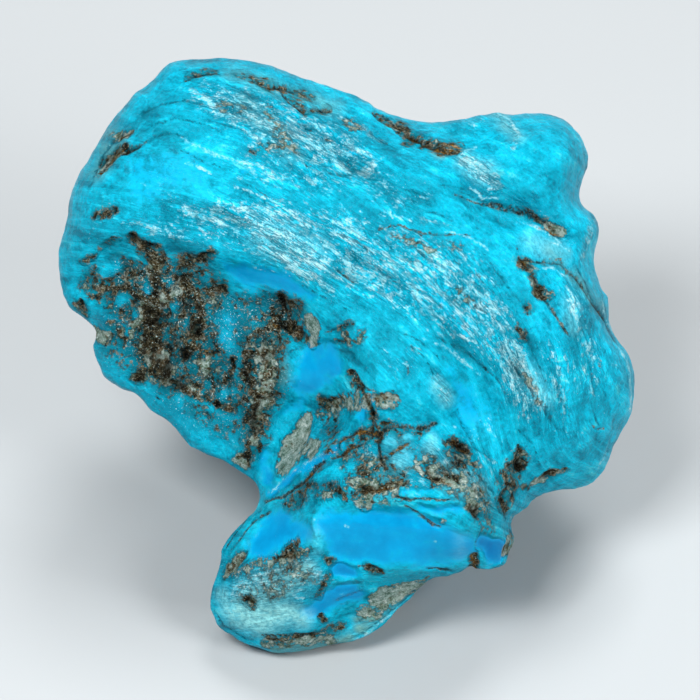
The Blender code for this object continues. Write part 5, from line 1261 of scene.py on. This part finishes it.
def stone_fields(node):
    """All the marks, noises, sums and shares that the finish is mixed from, by name."""
    found = {name: node("Attribute", attribute_name=name, out="Fac") for name in STONE_MARKS}
    place = node("Mapping", node("TexCoord", out="Object"), None, None, (1 / MM,) * 3)
    layers = node("CombineXYZ", found["along"], found["across"])
    for name, settings in NOISES.items():
        found[name] = node("TexNoise", place, *settings)
    for name, (along, across, detail, roughness, warp) in FLOWS.items():
        drawn = node("Mapping", layers, None, None, (along, across, 1.0))
        found[name] = node("TexNoise", drawn, 1.0, detail, roughness, None, warp)
    swarms = node("SeparateColor", node("TexNoise", place, *SWARMS, out="Color"))
    found.update(zip(SWARM_NAMES, swarms.node.outputs))
    for name, (total, weights) in SUMS.items():
        for part, weight in weights.items():
            total = node("Math", found[part], weight, total, **PLUS_TIMES)
        found[name] = total
    for name, (part, *span) in SHARES.items():
        found[name] = node("MapRange", found[part], *span, **SMOOTH)
    return SimpleNamespace(**found)


def turquoise_colour(node, field):
    """Colour of the turquoise, the share that chalky flecks cover, and the share of its dark hairs."""
    # body in clouds and streaks from teal to bright cyan
    colour = node("ValToRGB", field.tone, stops=BODY_RAMP)
    # dark teal patches, partly the stone's own colour and partly painted shade along the lower rim, in the
    # hollow, along the fold and in the creases
    share = node("Math", field.teal, field.teal_torn, **TIMES)
    colour = node("Mix", share, colour, linear(TINTS["teal"]), **COLOURS)
    # pure deep blue in ragged patches, with cobalt in its darkest spots
    deep = node("ValToRGB", field.depth, stops=PURE_RAMP)
    colour = node("Mix", field.pure_share, colour, deep, **COLOURS)
    # greenish tint of weathered turquoise, and milky veils
    share = node("Math", field.sage, field.sage_torn, **TIMES)
    colour = node("Mix", share, colour, linear(TINTS["sage"]), **COLOURS)
    share = node("Math", field.milk, field.milk_torn, **TIMES)
    colour = node("Mix", share, colour, linear(TINTS["milk"]), **COLOURS)
    # chalky flecks
    chalky = node("Math", field.chalk, field.chalk_torn, **TIMES)
    edge = node("Math", chalky, *FLECK_EDGE, **PLUS_TIMES)
    covered = node("MapRange", node("Math", field.flecks, edge, **LESS), *FLECK_SPAN, **SMOOTH)
    pale = node("ValToRGB", field.chalk_tone, stops=CHALK_RAMP)
    colour = node("Mix", node("Math", covered, FLECK_COVER, **TIMES), colour, pale, **COLOURS)
    # dark hair lines where a hair or the edge of a streak runs, most of them in the chalk
    ridge = node("Math", node("Math", field.hair, 0.5, **LESS), **SIZE)
    seam = node("Math", node("Math", field.streak, 0.5, **LESS), **SIZE)
    ridge = node("Math", ridge, node("Math", seam, SEAM_WEIGHT, **TIMES), operation="MINIMUM")
    hairy = node("Math", node("MapRange", ridge, *HAIR_SPAN, **SMOOTH), field.hair_room, **TIMES)
    hairy = node("Math", hairy, field.hairs_left, **TIMES)
    colour = node("Mix", hairy, colour, linear(TINTS["hair"]), **COLOURS)
    # teal and white lines with crumbling edges: the teal lines are partly painted shade along folds and
    # creases, the white lines partly painted highlights along the rims
    colour = node("Mix", field.teal_seam_share, colour, linear(TINTS["teal_seam"]), **COLOURS)
    colour = node("Mix", field.white_seam_share, colour, pale, **COLOURS)
    return colour, covered, hairy


def matrix_colour(node, field, colour):
    """The colour with matrix laid over it, and the shares of stony places, of clay and of dark rock."""
    # the turquoise between the grains is darker and duller
    stony = node("MapRange", node("Math", field.matrix, field.clay, **LARGER), *STONY_SPAN, **SMOOTH)
    colour = node("Mix", field.stain, colour, linear(TINTS["stain"]), **COLOURS)
    # pale clay, then dark rock and cracks with rust
    mud = node("Math", field.mud_share, stony, **TIMES)
    mud_colour = node("ValToRGB", field.mud_tone, stops=MUD_RAMP)
    colour = node("Mix", node("Math", mud, MUD_COVER, **TIMES), colour, mud_colour, **COLOURS)
    rock = node("Math", node("Math", field.rock_share, stony, **TIMES), field.crack_share, **LARGER)
    rock_colour = node("ValToRGB", field.rock_tone, stops=ROCK_RAMP)
    rock_colour = node("Mix", field.rust_share, rock_colour, linear(TINTS["rust"]), **COLOURS)
    colour = node("Mix", node("Math", rock, ROCK_COVER, **TIMES), colour, rock_colour, **COLOURS)
    gold = node("ValToRGB", field.grit, stops=GOLD_RAMP)
    colour = node("Mix", field.gold_share, colour, gold, **COLOURS)
    # single bright crystals, most of them in the matrix, whose white specks also serve as painted glints
    salty = node("Math", node("Math", field.matrix, field.teal, **LARGER), field.chalk, **LARGER)
    salt_and_glint = node("MapRange", node("Math", salty, SALT_AND_GLINT_PULL, field.grit, **PLUS_TIMES), *SALT_AND_GLINT_SPAN)
    return node("Mix", salt_and_glint, colour, linear(TINTS["salt_and_glint"]), **COLOURS), stony, mud, rock


def tumbled_turquoise():
    """Natural turquoise with its brown matrix, tumbled to a soft polish.

    To the eye: a bright cyan stone, deep blue where it is pure, with chalky flecks drawn out along its
    layers, dark greenish-brown and beige matrix grains in its hollows, and a gentle broken gloss.
    """
    material, tree, shader = new_finish("tumbled_turquoise_with_matrix")
    node = partial(add, tree)
    field = stone_fields(node)
    colour, covered, hairy = turquoise_colour(node, field)
    colour, stony, mud, rock = matrix_colour(node, field, colour)
    # painted shade: darker in the low places of the relief, full colour on the crests
    crevice_shade = node("ValToRGB", node("MapRange", field.relief, *CREVICE_SHADE_SPAN), stops=CREVICE_SHADE_RAMP)
    colour = node("Mix", 1.0, colour, crevice_shade, blend_type="MULTIPLY", **COLOURS)
    # the chalk and the rock take less polish than the pure stone
    dull = node("Math", covered, 0.5, node("Math", rock, mud, **LARGER), **PLUS_TIMES)
    # the finest relief: smooth on the blue and the clay, sunken hairs and standing grains
    height = node("Math", field.bumps, field.bumps_left, **TIMES)
    height = node("Math", height, node("MapRange", mud, 0.0, 1.0, 1.0, MUD_BUMPS), **TIMES)
    height = node("Math", hairy, HAIR_BUMP, height, **PLUS_TIMES)
    grains = node("Math", stony, field.rock_swarm, **TIMES)
    height = node("Math", grains, GRAIN_BUMP, height, **PLUS_TIMES)
    bump = node("Bump", None, BUMP_HEIGHT * MM, None, height)
    feeds = {
        "Base Color": colour, "Normal": bump, "Coat Normal": bump,
        "Roughness": node("MapRange", dull, 0.0, 1.0, *ROUGHNESS),
        "Coat Weight": node("MapRange", dull, 0.0, 1.0, *WAX)}
    for name, feed in feeds.items():
        tree.links.new(feed, shader.inputs[name])
    for name, value in STONE_SHADER.items():
        shader.inputs[name].default_value = value
    return material


def pale_floor():
    """Plain matt painted board under the stone: pale, even and without gloss."""
    half = FLOOR_HALF * MM
    corners = [(-half, -half, 0.0), (half, -half, 0.0), (half, half, 0.0), (-half, half, 0.0)]
    data = bpy.data.meshes.new("floor")
    data.from_pydata(corners, [], [(0, 1, 2, 3)])
    material, tree, shader = new_finish("matt_painted_board")
    grain = add(tree, "TexNoise", add(tree, "TexCoord", out="Object"), FLOOR_GRAIN, 2.0)
    tree.links.new(add(tree, "MapRange", grain, 0.0, 1.0, *FLOOR_ROUGHNESS), shader.inputs["Roughness"])
    shader.inputs["Base Color"].default_value = linear(FLOOR)
    data.materials.append(material)
    return put("floor", data)


def soft_light(name, azimuth, elevation, distance, width, power):
    """Square softbox aimed at the middle of the stone, from an azimuth and an elevation in degrees."""
    turn, climb = np.radians(azimuth), np.radians(elevation)
    away = np.array((np.sin(turn) * np.cos(climb), -np.cos(turn) * np.cos(climb), np.sin(climb)))
    lamp = bpy.data.lights.new(name, "AREA")
    lamp.size = width * MM
    lamp.energy = power
    held = put(name, lamp)
    held.location = (Vector(AIM) + Vector(away) * distance) * MM
    held.rotation_euler = Vector(away).to_track_quat("Z", "Y").to_euler()


def light_and_camera():
    """Even studio light from three softboxes, and a long lens square to the stone's leaning face."""
    for lamp in SOFTBOXES:
        soft_light(*lamp)
    world = bpy.data.worlds.new("studio")
    world.use_nodes = True
    walls = world.node_tree.nodes["Background"].inputs
    walls["Color"].default_value = linear(WALLS)
    walls["Strength"].default_value = WALL_LIGHT
    scene = bpy.context.scene
    scene.world = world
    lens = bpy.data.cameras.new("camera")
    lens.lens = LENS
    lens.sensor_width = SENSOR_WIDTH
    lens.clip_start, lens.clip_end = (length * MM for length in CLIPPING)
    camera = put("camera", lens)
    lean = np.radians(LEAN)
    square = Vector((0.0, -np.cos(lean), np.sin(lean)))
    camera.location = Vector((0.0, 0.0, FACE_HEIGHT * MM)) + square * CAMERA_DISTANCE * MM
    camera.rotation_euler = square.to_track_quat("Z", "Y").to_euler()
    scene.camera = camera
    scene.view_settings.view_transform = "Standard"


def main():
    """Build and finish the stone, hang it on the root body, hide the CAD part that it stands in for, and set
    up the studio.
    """
    nugget = build_nugget()
    nugget.data.materials.append(tumbled_turquoise())
    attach(nugget, "root")
    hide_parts("turquoise_nugget")
    pale_floor()
    light_and_camera()


main()
